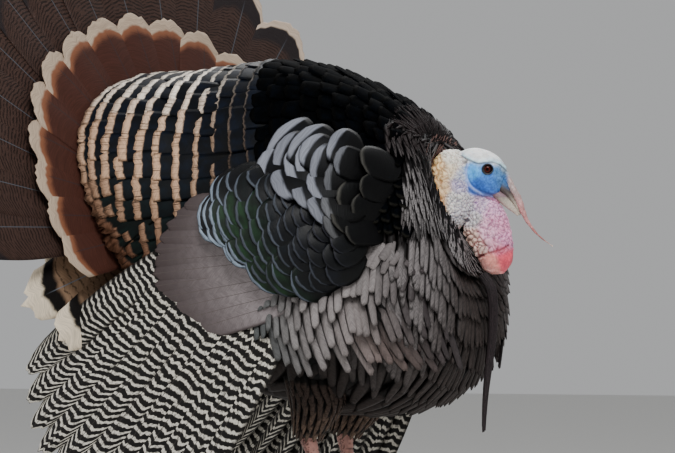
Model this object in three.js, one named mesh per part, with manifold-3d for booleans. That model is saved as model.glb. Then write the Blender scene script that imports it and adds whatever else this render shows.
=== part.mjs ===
// A strutting wild turkey gobbler, life size, as closed solids.
// Millimetres. +X is forward, +Y the bird's left, +Z up; the floor is z = 0.
import * as THREE from "three";
import { mergeVertices } from "three/addons/utils/BufferGeometryUtils.js";
import Module from "manifold-3d";

// ---- Driving dimensions -------------------------------------------------------------------------

const GAP = 0.4; // clearance left between two pieces that meet
const FINEST = 0.25; // detail smaller than this is smoothed away after a cut

// The coat of the trunk from the ruff at the neck to the rim of the rump's rosette. Each station is a
// plane section: its highest and lowest point in the bird's own middle plane, and half its width.
const COAT = [
  { top: [120, 508], bottom: [156, 404], half: 40 },
  { top: [140, 532], bottom: [188, 372], half: 82 },
  { top: [100, 571], bottom: [199, 318], half: 128 },
  { top: [44, 604], bottom: [188, 250], half: 150 },
  { top: [-20, 626], bottom: [130, 204], half: 158 },
  { top: [-80, 631], bottom: [40, 192], half: 160 },
  { top: [-135, 624], bottom: [-70, 214], half: 158 },
  { top: [-190, 616], bottom: [-132, 268], half: 166 },
  { top: [-257, 612], bottom: [-146, 344], half: 184 },
];
const COAT_MIDDLE = 0.52; // share of the way from top to bottom where a section is widest
const COAT_ROUND_TOP = 0.95; // 1 is an ellipse, less is squarer
const COAT_ROUND_BELOW = 0.8;
const NECK_TURN = 4; // degrees the ruff turns to the left, with the head
const NECK_TURN_END = 2.2; // station where that turn has died away
const NECK_PIVOT_X = 90;
const TAIL_TURN_START = 5.6; // station where the rump starts to turn with the fan

// The tail fan, spread in a flat half disc that leans back and is shown to the bird's right.
const FAN = {
  base: new THREE.Vector3(-205, 0, 423),
  yaw: -18.8,
  lean: 22.6,
  roll: 3.7,
  feathers: 18,
  spacing: 11.4,
  root: 28,
  length: 395,
  outerShortening: 22,
  thickness: 2.4,
  edgeThickness: 1.2,
  tipRound: 34,
};
const TAIL_ROOT = { radius: 31, depth: 21 };

// The great upper tail coverts lie on the fan's front face, as a scalloped dish.
const COVERTS = {
  from: -112,
  to: 80,
  feathers: 14,
  root: 26,
  radius: 273,
  scallop: 13,
  nearOffset: 7,
  rimOffset: 17,
  thickness: 3,
};

// The under tail coverts lie behind the fan and below it.
const UNDERTAIL = {
  from: 102,
  to: 258,
  feathers: 8,
  root: 24,
  radius: 290,
  belowRadius: 150,
  scallop: 12,
  nearOffset: -9,
  rimOffset: -40,
  thickness: 7,
};

// The head, in its own frame: x forward, y left, z up, with the eyes at the origin.
const HEAD = { eyes: new THREE.Vector3(196, 12, 494), turn: 20 };
const SKULL = [
  { top: [-38, 17], bottom: [-28, -20], half: 14 },
  { top: [-29, 23], bottom: [-20, -27], half: 19 },
  { top: [-15, 27.5], bottom: [-6, -32], half: 21 },
  { top: [2, 23], bottom: [7, -32], half: 19 },
  { top: [14, 13], bottom: [13, -29], half: 14.5 },
  { top: [21, 0], bottom: [15, -24], half: 9.5 },
];
const BILL_UPPER = [
  { top: [19, -1], bottom: [2, -20], half: 8.5 },
  { top: [25.5, -14], bottom: [14, -30], half: 8 },
  { top: [31, -29], bottom: [23.5, -39.5], half: 6.6 },
  { top: [36.5, -44], bottom: [32.5, -49], half: 4 },
  { top: [38.5, -54.5], bottom: [38, -55.5], half: 0.8 },
];
const BILL_LOWER = [
  { top: [1, -21.5], bottom: [2, -31], half: 8 },
  { top: [13, -31.2], bottom: [10.5, -38], half: 7 },
  { top: [22.5, -40.6], bottom: [20, -45.5], half: 5.2 },
  { top: [31.2, -50], bottom: [30.2, -51.6], half: 1.6 },
];
const EYE = { radius: 8.6, out: 12.2 };
const NECK = [
  { top: [-112, -66], bottom: [-72, -104], half: 29 },
  { top: [-92, -42], bottom: [-50, -88], half: 32 },
  { top: [-76, -19], bottom: [-32, -68], half: 32 },
  { top: [-62, -1], bottom: [-19, -52], half: 28 },
  { top: [-46, 12], bottom: [-10, -40], half: 22 },
  { top: [-32, 16], bottom: [-4, -30], half: 17 },
];
const WATTLE = [
  { top: [-12, -34], bottom: [12, -37], half: 13 },
  { top: [-22, -50], bottom: [20, -52], half: 18 },
  { top: [-30, -72], bottom: [27, -74], half: 20 },
  { top: [-21, -94], bottom: [30, -97], half: 18 },
  { top: [-12, -110], bottom: [28, -114], half: 16 },
  { top: [-6, -122], bottom: [18, -126], half: 11 },
];
const SNOOD = {
  path: [
    [14, -1, 9],
    [22.5, -1, 3],
    [28.5, -1.5, -12],
    [34.5, -2, -26],
    [41, -2.5, -40],
    [46, -3, -55],
    [52, -3, -71],
    [64, -2, -84],
    [78, 0, -93],
  ],
  radius: 4.1,
  tip: 0.9,
};
const BEARD = {
  path: [
    [194, 0, 366],
    [205, 0, 350],
    [208, 0, 320],
    [206, 0, 285],
    [201, 0, 250],
    [197, 0, 215],
    [195, 0, 176],
  ],
  wide: 9,
  deep: 5.5,
  tip: 1.6,
};

// One wing, given for the right side. The left one is its mirror, set a little forward and lower.
const WING = {
  leftForward: 38,
  leftLower: 14,
  coverts: { centre: [2, -171, 412], half: [112, 38, 78], tilt: 20 },
  scapulars: { centre: [46, -142, 474], half: [84, 36, 72], tilt: 26 },
  secondaries: {
    feathers: 9,
    rows: 2,
    root: [[6, 448], [26, 392], [44, 338]],
    tip: [[-112, 456], [-176, 412], [-182, 340], [-112, 290]],
    y: [-169, -178],
    bulge: 7,
    thickness: 3.2,
    notch: 9,
  },
  primaries: {
    feathers: 9,
    rows: 3,
    root: [[-134, 410], [-40, 380], [24, 320]],
    tip: [[-318, 268], [-336, 128], [-232, 44], [-140, -3]],
    y: [-161, -206],
    bulge: 0,
    thickness: 2.6,
    notch: 30,
  },
};

// The legs, given for the right side. A foot stands ahead of or behind the other by its stride.
const LEG = {
  stride: { right: 14, left: -12 },
  hip: [0, -68, 250],
  hock: [-16, -64, 170],
  ankle: [22, -64, 22],
  thighRadius: 50,
  hockRadius: 12,
  shankRadius: 7.4,
  spur: { height: 66, length: 27, radius: 5 },
  toeRadius: 6.2,
  footSink: 0.86, // height of a toe's middle over the floor, as a share of its radius
  toes: [
    { angle: 0, length: 76 },
    { angle: 34, length: 52 },
    { angle: -36, length: 54 },
    { angle: 172, length: 24 },
  ],
  claw: { length: 17, radius: 3.4 },
};
const LEFT = 1;
const RIGHT = -1;

// ---- Solids -------------------------------------------------------------------------------------

const wasm = await Module();
wasm.setup();

/** A closed geometry as a solid, with its faces turned outwards. */
function solid(geometry) {
  const bare = geometry.clone();
  bare.deleteAttribute("normal");
  bare.deleteAttribute("uv");
  const merged = mergeVertices(bare, 1e-3);
  const corners = merged.index.array;
  const build = (flip) => {
    const triangles = [];
    for (let i = 0; i < corners.length; i += 3) {
      const [a, b, c] = [corners[i], corners[i + 1], corners[i + 2]];
      if (a !== b && b !== c && c !== a) triangles.push(a, flip ? c : b, flip ? b : c);
    }
    return new wasm.Manifold(
      new wasm.Mesh({
        numProp: 3,
        vertProperties: new Float32Array(merged.attributes.position.array),
        triVerts: new Uint32Array(triangles),
      }),
    );
  };
  const made = build(false);
  return made.volume() < 0 ? build(true) : made;
}

/** The largest of the pieces that a cut has left. */
function largest(shape) {
  return shape.decompose().reduce((best, piece) => (piece.volume() > best.volume() ? piece : best));
}

/** A shape less each of the cutters, without the slivers that cutting leaves. */
function cut(shape, ...cutters) {
  return largest(cutters.reduce((left, cutter) => left.subtract(cutter), shape)).simplify(FINEST);
}

/** The room a shape takes up together with the clearance round it. */
function roomOf(shape) {
  const geometry = geometryOf(shape);
  const { position, normal } = geometry.attributes;
  for (let i = 0; i < position.count; i++) {
    const moved = [position.getX(i), position.getY(i), position.getZ(i)];
    const out = [normal.getX(i), normal.getY(i), normal.getZ(i)];
    position.setXYZ(i, ...moved.map((value, axis) => value + GAP * out[axis]));
  }
  return solid(geometry);
}

/** Everything of a shape that is above the floor. */
function aboveFloor(shape) {
  return largest(shape.trimByPlane([0, 0, 1], 0)).simplify(FINEST);
}

/** A solid's mesh as a geometry with normals. */
function geometryOf(shape) {
  const mesh = shape.getMesh();
  const geometry = new THREE.BufferGeometry()
    .setAttribute("position", new THREE.BufferAttribute(new Float32Array(mesh.vertProperties), 3))
    .setIndex(new THREE.BufferAttribute(new Uint32Array(mesh.triVerts), 1));
  geometry.computeVertexNormals();
  return geometry;
}

/** A named mesh of a solid, in the colour, roughness and metalness of its finish. */
function part(name, shape, finish) {
  const material = new THREE.MeshStandardMaterial({ metalness: 0, ...finish });
  const made = new THREE.Mesh(geometryOf(shape), material);
  made.name = name;
  return made;
}

/** A closed skin: place(across, row) gives a point, where across runs 0 to 1 round the skin and row counts
 * from 0 to rows. The first and last row are each a single point. */
function skin(around, rows, place) {
  const ball = new THREE.SphereGeometry(1, around, rows);
  const { position, uv } = ball.attributes;
  for (let i = 0; i < position.count; i++) {
    const row = Math.round((1 - uv.getY(i)) * rows);
    const pole = row === 0 || row === rows;
    position.setXYZ(i, ...place(pole ? 0 : uv.getX(i) % 1, row));
  }
  return solid(ball);
}

/** A thin plate: place(across, along, side) gives a point, where across and along run 0 to 1 over the
 * plate and side is -1 or 1 for its two faces. */
function plate(across, along, place) {
  const box = new THREE.BoxGeometry(1, 1, 1, across, along, 1);
  const { position } = box.attributes;
  for (let i = 0; i < position.count; i++) {
    const side = Math.sign(position.getZ(i));
    position.setXYZ(i, ...place(position.getX(i) + 0.5, position.getY(i) + 0.5, side));
  }
  return solid(box);
}

// ---- Lofts through stations ---------------------------------------------------------------------

const radians = THREE.MathUtils.degToRad;
const smooth = (from, to, x) => THREE.MathUtils.smoothstep(x, from, to);
const power = (x, exponent) => Math.sign(x) * Math.abs(x) ** exponent;

/** The section of a row of stations at a share of its length: its top, bottom and half width. */
function sectionOf(stations) {
  const line = (of) => new THREE.CatmullRomCurve3(stations.map(of), false, "catmullrom", 0.5);
  const tops = line((s) => new THREE.Vector3(s.top[0], 0, s.top[1]));
  const bottoms = line((s) => new THREE.Vector3(s.bottom[0], 0, s.bottom[1]));
  const halves = line((s) => new THREE.Vector3(s.half, 0, 0));
  return (share) => ({
    top: tops.getPoint(share),
    bottom: bottoms.getPoint(share),
    half: halves.getPoint(share).x,
  });
}

/** A point of a section. The angle is 0 at its top and grows towards the left. */
function onSection(section, angle, middle, roundTop, roundBelow) {
  const centre = section.top.clone().lerp(section.bottom, middle);
  const [up, left] = [Math.cos(angle), Math.sin(angle)];
  const reach = (up >= 0 ? section.top : section.bottom).clone().sub(centre);
  const round = up >= 0 ? roundTop : roundBelow;
  return centre
    .addScaledVector(reach, Math.abs(up) ** round)
    .add(new THREE.Vector3(0, power(left, round) * section.half, 0));
}

/** A closed loft through stations, each section near an ellipse, and moved into place by carry. */
function loft(stations, { around, rows, carry, round }) {
  const section = sectionOf(stations);
  return skin(around, rows, (across, row) => {
    const share = THREE.MathUtils.clamp((row - 1) / (rows - 2), 0, 1);
    const at = section(share);
    if (row === 0 || row === rows) return carry(endPoint(section, share, 0.3)).toArray();
    return carry(onSection(at, across * 2 * Math.PI, 0.5, round, round)).toArray();
  });
}

/** The point in which a loft ends, outside the middle of its last section by a share of its half width. */
function endPoint(section, share, bulge) {
  const middleAt = (s) => section(s).top.clone().lerp(section(s).bottom, 0.5);
  const { top, bottom, half } = section(share);
  const outwards = new THREE.Vector3(top.z - bottom.z, 0, bottom.x - top.x).normalize();
  const chord = middleAt(share).sub(middleAt(1 - share));
  return middleAt(share).addScaledVector(outwards, bulge * half * Math.sign(outwards.dot(chord)));
}

/** A tube of an oval section along a path; radius(share) gives its two half widths. */
function tube(path, { around, rows, radius, carry = (p) => p }) {
  const curve = new THREE.CatmullRomCurve3(path.map((p) => new THREE.Vector3(...p)));
  const up = new THREE.Vector3(0, 1, 0);
  return skin(around, rows, (across, row) => {
    const share = THREE.MathUtils.clamp((row - 1) / (rows - 2), 0, 1);
    const at = curve.getPoint(share);
    const along = curve.getTangent(share);
    if (row === 0) return carry(at.addScaledVector(along, -0.5)).toArray();
    if (row === rows) return carry(at.addScaledVector(along, 0.5)).toArray();
    const normal = new THREE.Vector3().crossVectors(up, along).normalize();
    const sideways = new THREE.Vector3().crossVectors(along, normal).normalize();
    const [wide, deep] = radius(share);
    const angle = across * 2 * Math.PI;
    at.addScaledVector(sideways, Math.cos(angle) * wide);
    at.addScaledVector(normal, Math.sin(angle) * deep);
    return carry(at).toArray();
  });
}

// ---- Frames -------------------------------------------------------------------------------------

const zAxis = new THREE.Vector3(0, 0, 1);

/** A point of the head's own frame, in the bird's frame. */
function onHead(point) {
  return point.clone().applyAxisAngle(zAxis, radians(HEAD.turn)).add(HEAD.eyes);
}

const fanNormal = new THREE.Vector3(Math.cos(radians(FAN.lean)), 0, Math.sin(radians(FAN.lean)));
fanNormal.applyAxisAngle(zAxis, radians(FAN.yaw));
const fanLeft = new THREE.Vector3().crossVectors(zAxis, fanNormal).normalize();
const fanUp = new THREE.Vector3().crossVectors(fanNormal, fanLeft);

/** A point by its radius and angle on the fan, and how far it is in front of it. The angle is 0 at the
 * top and grows towards the left, in degrees. */
function onFan(radius, degrees, inFront) {
  return FAN.base
    .clone()
    .addScaledVector(fanUp, radius * Math.cos(radians(degrees)))
    .addScaledVector(fanLeft, radius * Math.sin(radians(degrees)))
    .addScaledVector(fanNormal, inFront);
}

// ---- Trunk --------------------------------------------------------------------------------------

const coatSection = sectionOf(COAT);

/** A point of the trunk's coat. Station counts from 0 at the ruff; the angle is 0 along the back. */
function onCoat(station, angle) {
  const at = coatSection(station / (COAT.length - 1));
  return turned(onSection(at, angle, COAT_MIDDLE, COAT_ROUND_TOP, COAT_ROUND_BELOW), station);
}

/** Turns a point of the trunk's straight form with the neck at one end, or with the fan at the other. */
function turned(point, station) {
  const withNeck = NECK_TURN * (1 - smooth(0, NECK_TURN_END, station));
  const withFan = FAN.yaw * smooth(TAIL_TURN_START, COAT.length - 1, station);
  const pivot = new THREE.Vector3(withFan ? FAN.base.x : NECK_PIVOT_X, 0, 0);
  return point.sub(pivot).applyAxisAngle(zAxis, radians(withNeck + withFan)).add(pivot);
}

/** The trunk with its coat. */
function trunkSolid() {
  const last = COAT.length - 1;
  const rows = 2 * last + 2;
  return skin(22, rows, (across, row) => {
    const station = THREE.MathUtils.clamp((row - 1) / 2, 0, last);
    const end = row === 0 || row === rows;
    const point = end
      ? turned(endPoint(coatSection, station / last, 0.06), station)
      : onCoat(station, across * 2 * Math.PI);
    return point.toArray();
  });
}

// ---- Tail ---------------------------------------------------------------------------------------

/** The bulb of flesh that carries the tail feathers. */
function tailRootSolid() {
  return skin(12, 6, (across, row) => {
    const [latitude, angle] = [(Math.PI * row) / 6, across * 2 * Math.PI];
    const ring = Math.sin(latitude) * TAIL_ROOT.radius;
    const depth = Math.cos(latitude) * TAIL_ROOT.depth;
    return onFan(ring, THREE.MathUtils.radToDeg(angle), depth).toArray();
  });
}

/** One tail feather, as a flat wedge with a round tip and a raised shaft. */
function tailFeatherSolid(index) {
  const fromMiddle = index - (FAN.feathers - 1) / 2;
  const middle = FAN.roll + fromMiddle * FAN.spacing;
  const length = FAN.length - FAN.outerShortening * (Math.abs(fromMiddle) / (FAN.feathers / 2)) ** 2;
  const halfWidth = (radius) => {
    const wedge = radius * Math.tan(radians(FAN.spacing / 2)) - GAP;
    const past = THREE.MathUtils.clamp((radius - (length - FAN.tipRound)) / FAN.tipRound, 0, 1);
    return wedge * Math.sqrt(Math.max(1 - past ** 2, 0.02));
  };
  return plate(2, 5, (across, along, side) => {
    const share = 1 - (1 - along) ** 2.2;
    const radius = FAN.root + (length - FAN.root) * share;
    const sideways = (across * 2 - 1) * halfWidth(radius);
    const thickness = across === 0.5 ? FAN.thickness : FAN.edgeThickness;
    const point = onFan(radius, middle, (side * thickness) / 2);
    const aside = onFan(1, middle + 90, 0).sub(FAN.base);
    return point.addScaledVector(aside, sideways).toArray();
  });
}

/** A dish of coverts round the tail's root with a scalloped rim, in front of the fan or behind it. */
function rosetteSolid(spec, radiusAt) {
  const segments = spec.feathers * 3;
  return plate(segments, 2, (across, along, side) => {
    const degrees = spec.from + (spec.to - spec.from) * across;
    const notch = spec.scallop * Math.abs(Math.cos(Math.PI * spec.feathers * across)) ** 3;
    const rim = radiusAt(degrees) - notch;
    const radius = spec.root + (rim - spec.root) * along;
    const lift = spec.nearOffset + (spec.rimOffset - spec.nearOffset) * (radius / spec.radius) ** 1.3;
    const half = (spec.thickness * (1.4 - 0.8 * along)) / 2;
    return onFan(radius, degrees, lift + side * half).toArray();
  });
}

/** The radius of the great coverts at an angle. */
const covertsRadius = (degrees) => COVERTS.radius * (1 - 0.1 * smooth(70, 115, Math.abs(degrees)));

/** The radius of the under tail coverts at an angle; they are shortest straight below the tail. */
function undertailRadius(degrees) {
  const below = Math.cos(radians(degrees - 180)) ** 2;
  return UNDERTAIL.radius + (UNDERTAIL.belowRadius - UNDERTAIL.radius) * below;
}

// ---- Wings --------------------------------------------------------------------------------------

/** Carries a point given for the right wing to its place on either side. */
function onWing(side, [x, y, z]) {
  return side === RIGHT ? [x, y, z] : [x + WING.leftForward, -y, z - WING.leftLower];
}

/** Carries a point given for the right side of the body to its place on either side. */
function onBody(side, [x, y, z]) {
  return side === RIGHT ? [x, y, z] : [x, -y, z];
}

/** A cushion of small coverts or scapulars on the wing, as a tilted ellipsoid. */
function pillowSolid(side, spec, carry) {
  const [cx, cy, cz] = spec.centre;
  const tilt = radians(spec.tilt);
  return skin(14, 7, (across, row) => {
    const [latitude, angle] = [(Math.PI * row) / 7, across * 2 * Math.PI];
    const ring = Math.sin(latitude);
    const along = ring * Math.cos(angle) * spec.half[0];
    const up = ring * Math.sin(angle) * spec.half[2];
    const out = Math.cos(latitude) * spec.half[1];
    const x = cx + along * Math.cos(tilt) + up * Math.sin(tilt);
    const z = cz - along * Math.sin(tilt) + up * Math.cos(tilt);
    return carry(side, [x, cy + out, z]);
  });
}

/** A spread row of flight feathers, as one curved plate with a notched edge. */
function flightSolid(side, spec) {
  const flat = ([x, z]) => new THREE.Vector3(x, 0, z);
  const roots = new THREE.QuadraticBezierCurve3(...spec.root.map(flat));
  const tips = new THREE.CubicBezierCurve3(...spec.tip.map(flat));
  return plate(spec.feathers * 2, spec.rows, (across, along, face) => {
    const root = roots.getPoint(across);
    const tip = tips.getPoint(across);
    const notched = Math.round(across * spec.feathers * 2) % 2 === 0;
    const edge = across === 0 || across === 1;
    const length = tip.distanceTo(root) - (notched && !edge ? spec.notch : 0);
    const point = root.addScaledVector(tip.sub(root).normalize(), length * along);
    const spread = (spec.y[1] - spec.y[0]) * along ** 2;
    const out = spec.y[0] + spread - spec.bulge * Math.sin(Math.PI * along);
    return onWing(side, [point.x, out + (face * spec.thickness) / 2, point.z]);
  });
}

// ---- Legs ---------------------------------------------------------------------------------------

/** Carries a point given for the right leg to its place on either side, with that foot's stride. */
function onLeg(side, [x, y, z]) {
  const stride = side === RIGHT ? LEG.stride.right : LEG.stride.left;
  const share = 1 - smooth(60, 250, z);
  return new THREE.Vector3(x + stride * share, side === RIGHT ? y : -y, z);
}

/** The feathered thigh, from the hip to the hock. */
function thighSolid(side) {
  const path = [LEG.hip, [4, -68, 214], LEG.hock].map((p) => onLeg(side, p).toArray());
  const radius = (share) => {
    const r = THREE.MathUtils.lerp(LEG.thighRadius, LEG.hockRadius, share ** 1.2);
    return [r * 0.86, r];
  };
  return tube(path, { around: 12, rows: 6, radius });
}

/** The bare shank, with its two joints a little thicker. */
function shankSolid(side) {
  const middle = LEG.hock.map((h, i) => (h + LEG.ankle[i]) / 2);
  const path = [LEG.hock, middle, LEG.ankle].map((p) => onLeg(side, p).toArray());
  const radius = (share) => {
    const joint = Math.exp(-((share / 0.12) ** 2)) + 0.6 * Math.exp(-(((1 - share) / 0.14) ** 2));
    const r = LEG.shankRadius + 3 * joint;
    return [r * 0.86, r];
  };
  return tube(path, { around: 7, rows: 7, radius });
}

/** The radius of a toe, thicker over its pads. */
function toeRadius(share) {
  return LEG.toeRadius * (1 - 0.38 * share) * (1 + 0.1 * Math.cos(6 * Math.PI * share));
}

/** The path of a toe from the ankle down to the floor and along it. */
function toePath(side, toe) {
  const angle = radians(toe.angle) * (side === RIGHT ? 1 : -1);
  const ankle = onLeg(side, LEG.ankle);
  return [0, 0.16, 0.32, 0.5, 0.75, 1].map((share) => {
    const reach = share * toe.length;
    const rise = LEG.ankle[2] * (1 - smooth(0, 0.34, share)) ** 1.5;
    const height = Math.max(rise, LEG.footSink * LEG.toeRadius * (1 - 0.38 * share));
    return [ankle.x + reach * Math.cos(angle), ankle.y + reach * Math.sin(angle), height];
  });
}

/** A foot: four toes joined at the ankle, flat where they press on the floor. */
function footSolid(side) {
  const toes = LEG.toes.map((toe) =>
    tube(toePath(side, toe), {
      around: 6,
      rows: 7,
      radius: (share) => [toeRadius(share) * 1.06, toeRadius(share)],
    }),
  );
  return aboveFloor(toes.reduce((all, toe) => all.add(toe)));
}

/** A claw at the end of a toe, curved down to the floor. */
function clawSolid(side, toe) {
  const angle = radians(toe.angle) * (side === RIGHT ? 1 : -1);
  const [x, y, z] = toePath(side, toe).at(-1);
  const at = (reach, drop) => [x + reach * Math.cos(angle), y + reach * Math.sin(angle), z - drop];
  const { length, radius } = LEG.claw;
  const path = [at(-3, -0.4), at(length * 0.4, -0.8), at(length * 0.75, 0.8), at(length, 3.6)];
  return aboveFloor(
    tube(path, {
      around: 5,
      rows: 4,
      radius: (share) => [radius * (1 - 0.8 * share), radius * (1 - 0.8 * share)],
    }),
  );
}

/** The spur on the inner back of a shank. */
function spurSolid(side) {
  const share = (LEG.spur.height - LEG.ankle[2]) / (LEG.hock[2] - LEG.ankle[2]);
  const root = LEG.ankle.map((a, i) => a + (LEG.hock[i] - a) * share);
  const at = (back, up) => onLeg(side, [root[0] - back, root[1] + back * 0.35, root[2] + up]).toArray();
  const { length, radius } = LEG.spur;
  return tube([at(0, 0), at(length * 0.5, 1), at(length, 7)], {
    around: 5,
    rows: 5,
    radius: (at) => [radius * (1 - 0.85 * at), radius * (1 - 0.85 * at)],
  });
}

// ---- Head ---------------------------------------------------------------------------------------

/** A loft on the head, through stations given in the head's own frame. */
function headLoft(stations, around, rows) {
  return loft(stations, { around, rows, carry: onHead, round: 0.94 });
}

/** An eyeball, on one side of the head. */
function eyeSolid(side) {
  return skin(12, 6, (across, row) => {
    const [latitude, angle] = [(Math.PI * row) / 6, across * 2 * Math.PI];
    const r = EYE.radius;
    const ring = r * Math.sin(latitude);
    const centre = new THREE.Vector3(0, side * EYE.out, 0);
    return onHead(centre.add(new THREE.Vector3(
      ring * Math.cos(angle),
      r * Math.cos(latitude),
      ring * Math.sin(angle),
    ))).toArray();
  });
}

/** The snood, a limp finger of flesh from the forehead over the bill. */
function snoodSolid() {
  const radius = (share) => {
    const r = THREE.MathUtils.lerp(SNOOD.radius, SNOOD.tip, smooth(0.45, 1, share));
    return [r, r];
  };
  return tube(SNOOD.path, { around: 6, rows: 13, radius, carry: onHead });
}

/** The beard, a flat tassel of bristles from the middle of the breast. */
function beardSolid() {
  const radius = (share) => {
    const taper = THREE.MathUtils.lerp(1, BEARD.tip / BEARD.deep, share ** 1.6);
    return [BEARD.wide * taper, BEARD.deep * taper];
  };
  return tube(BEARD.path, { around: 8, rows: 9, radius });
}

// ---- The bird -----------------------------------------------------------------------------------

const FINISH = {
  plumage: { color: 0x1d1a1a, roughness: 0.55 },
  scapulars: { color: 0x6d6e74, roughness: 0.5 },
  wingCoverts: { color: 0x2a2f33, roughness: 0.5 },
  secondaries: { color: 0x6b5f5d, roughness: 0.6 },
  primaries: { color: 0x8a8378, roughness: 0.6 },
  rectrices: { color: 0x4a322a, roughness: 0.6 },
  coverts: { color: 0x7a4a38, roughness: 0.6 },
  undertail: { color: 0xa9805e, roughness: 0.7 },
  beard: { color: 0x15110f, roughness: 0.6 },
  faceSkin: { color: 0x5aa0dc, roughness: 0.5 },
  neckSkin: { color: 0xd6b79f, roughness: 0.55 },
  wattle: { color: 0xd9848c, roughness: 0.45 },
  snood: { color: 0xc99a94, roughness: 0.5 },
  horn: { color: 0x8d8272, roughness: 0.4 },
  eye: { color: 0x2a1610, roughness: 0.08 },
  legScale: { color: 0xa8746a, roughness: 0.5 },
  claw: { color: 0x3a302a, roughness: 0.4 },
};

/** Both sides' pieces, named with the side they are on. */
const bothSides = (make) => [["right", RIGHT], ["left", LEFT]].flatMap(([word, side]) => make(word, side));

/** The trunk, neck and what grows on the head. */
function headAndTrunk() {
  const trunk = cut(trunkSolid(), roomOf(tailRootSolid()));
  const trunkRoom = roomOf(trunkSolid());
  const eyes = [RIGHT, LEFT].map(eyeSolid);
  const eyeRooms = eyes.map(roomOf);
  const upper = cut(headLoft(BILL_UPPER, 10, 8), ...eyeRooms);
  const lower = cut(headLoft(BILL_LOWER, 10, 7), roomOf(upper));
  const billRooms = [headLoft(BILL_UPPER, 10, 8), headLoft(BILL_LOWER, 10, 7)].map(roomOf);
  const neckRoom = roomOf(headLoft(NECK, 14, 7));
  const neck = cut(headLoft(NECK, 14, 7), trunkRoom);
  const head = cut(headLoft(SKULL, 14, 8), neckRoom, ...billRooms, ...eyeRooms);
  const rooms = [trunkRoom, neckRoom, roomOf(headLoft(SKULL, 14, 8)), ...billRooms];
  return [
    part("trunk", trunk, FINISH.plumage),
    part("neck", neck, FINISH.neckSkin),
    part("head", head, FINISH.faceSkin),
    part("bill_upper", upper, FINISH.horn),
    part("bill_lower", lower, FINISH.horn),
    part("wattle", cut(headLoft(WATTLE, 12, 8), ...rooms), FINISH.wattle),
    part("snood", cut(snoodSolid(), ...rooms), FINISH.snood),
    part("beard", cut(beardSolid(), trunkRoom), FINISH.beard),
    part("eye_right", eyes[0], FINISH.eye),
    part("eye_left", eyes[1], FINISH.eye),
  ];
}

/** The tail fan and the coverts before and behind it. */
function tail() {
  const rooms = [tailRootSolid(), trunkSolid()].map(roomOf);
  const wingRooms = [RIGHT, LEFT].map((side) => roomOf(flightSolid(side, WING.primaries)));
  const feathers = Array.from({ length: FAN.feathers }, (_, i) => {
    const name = "tail_feather_" + String(i + 1).padStart(2, "0");
    return part(name, cut(tailFeatherSolid(i), ...rooms), FINISH.rectrices);
  });
  const undertail = cut(rosetteSolid(UNDERTAIL, undertailRadius), ...rooms, ...wingRooms);
  return [
    part("tail_root", tailRootSolid(), FINISH.plumage),
    part("tail_coverts", cut(rosetteSolid(COVERTS, covertsRadius), ...rooms), FINISH.coverts),
    part("undertail_coverts", undertail, FINISH.undertail),
    ...feathers,
  ];
}

/** The pieces of one wing. */
function wing(word, side) {
  const rooms = [trunkSolid(), thighSolid(side), rosetteSolid(COVERTS, covertsRadius)].map(roomOf);
  const place = (shape) => {
    const placed = cut(shape, ...rooms);
    rooms.push(roomOf(shape));
    return placed;
  };
  const scapulars = place(pillowSolid(side, WING.scapulars, onBody));
  const coverts = place(pillowSolid(side, WING.coverts, onWing));
  const secondaries = place(flightSolid(side, WING.secondaries));
  const primaries = place(flightSolid(side, WING.primaries));
  return [
    part("scapulars_" + word, scapulars, FINISH.scapulars),
    part("wing_" + word, coverts, FINISH.wingCoverts),
    part("secondaries_" + word, secondaries, FINISH.secondaries),
    part("primaries_" + word, aboveFloor(primaries), FINISH.primaries),
  ];
}

/** The pieces of one leg. */
function leg(word, side) {
  const foot = footSolid(side);
  const shank = cut(shankSolid(side), roomOf(foot));
  const thigh = cut(thighSolid(side), roomOf(trunkSolid()), roomOf(shank));
  return [
    part("thigh_" + word, thigh, FINISH.plumage),
    part("shank_" + word, shank, FINISH.legScale),
    part("foot_" + word, foot, FINISH.legScale),
    part("spur_" + word, cut(spurSolid(side), roomOf(shank)), FINISH.claw),
    ...LEG.toes.map((toe, i) =>
      part(`claw_${word}_${i + 1}`, cut(clawSolid(side, toe), roomOf(foot)), FINISH.claw),
    ),
  ];
}

const bird = new THREE.Group();
bird.add(...headAndTrunk(), ...tail(), ...bothSides(wing), ...bothSides(leg));

// The origin is on the floor, under the middle of the whole bird.
const box = new THREE.Box3().setFromObject(bird);
const middle = box.getCenter(new THREE.Vector3());
bird.position.set(-middle.x, -middle.y, -box.min.z);

export default bird;
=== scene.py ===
"""A wild turkey gobbler in full strut, dressed in skin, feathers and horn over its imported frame."""

import logging
import math
from dataclasses import dataclass, field
from enum import Enum
from typing import Callable

import bpy
import numpy as np
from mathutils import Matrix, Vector
from mathutils.kdtree import KDTree

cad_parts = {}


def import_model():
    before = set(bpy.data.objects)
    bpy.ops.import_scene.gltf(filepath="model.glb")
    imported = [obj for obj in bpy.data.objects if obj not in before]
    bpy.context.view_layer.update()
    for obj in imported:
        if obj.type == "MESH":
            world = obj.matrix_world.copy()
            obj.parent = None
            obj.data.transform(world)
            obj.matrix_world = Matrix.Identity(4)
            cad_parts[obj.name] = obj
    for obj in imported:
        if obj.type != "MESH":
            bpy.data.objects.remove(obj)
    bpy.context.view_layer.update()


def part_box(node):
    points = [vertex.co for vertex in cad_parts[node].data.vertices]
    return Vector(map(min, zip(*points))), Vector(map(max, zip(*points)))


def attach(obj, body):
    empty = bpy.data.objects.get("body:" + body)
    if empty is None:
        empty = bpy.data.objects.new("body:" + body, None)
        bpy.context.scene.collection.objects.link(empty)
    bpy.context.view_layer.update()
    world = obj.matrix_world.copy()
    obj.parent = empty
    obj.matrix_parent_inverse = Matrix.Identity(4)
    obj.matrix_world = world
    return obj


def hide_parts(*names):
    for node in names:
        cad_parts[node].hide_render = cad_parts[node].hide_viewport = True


Array = np.ndarray
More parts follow.
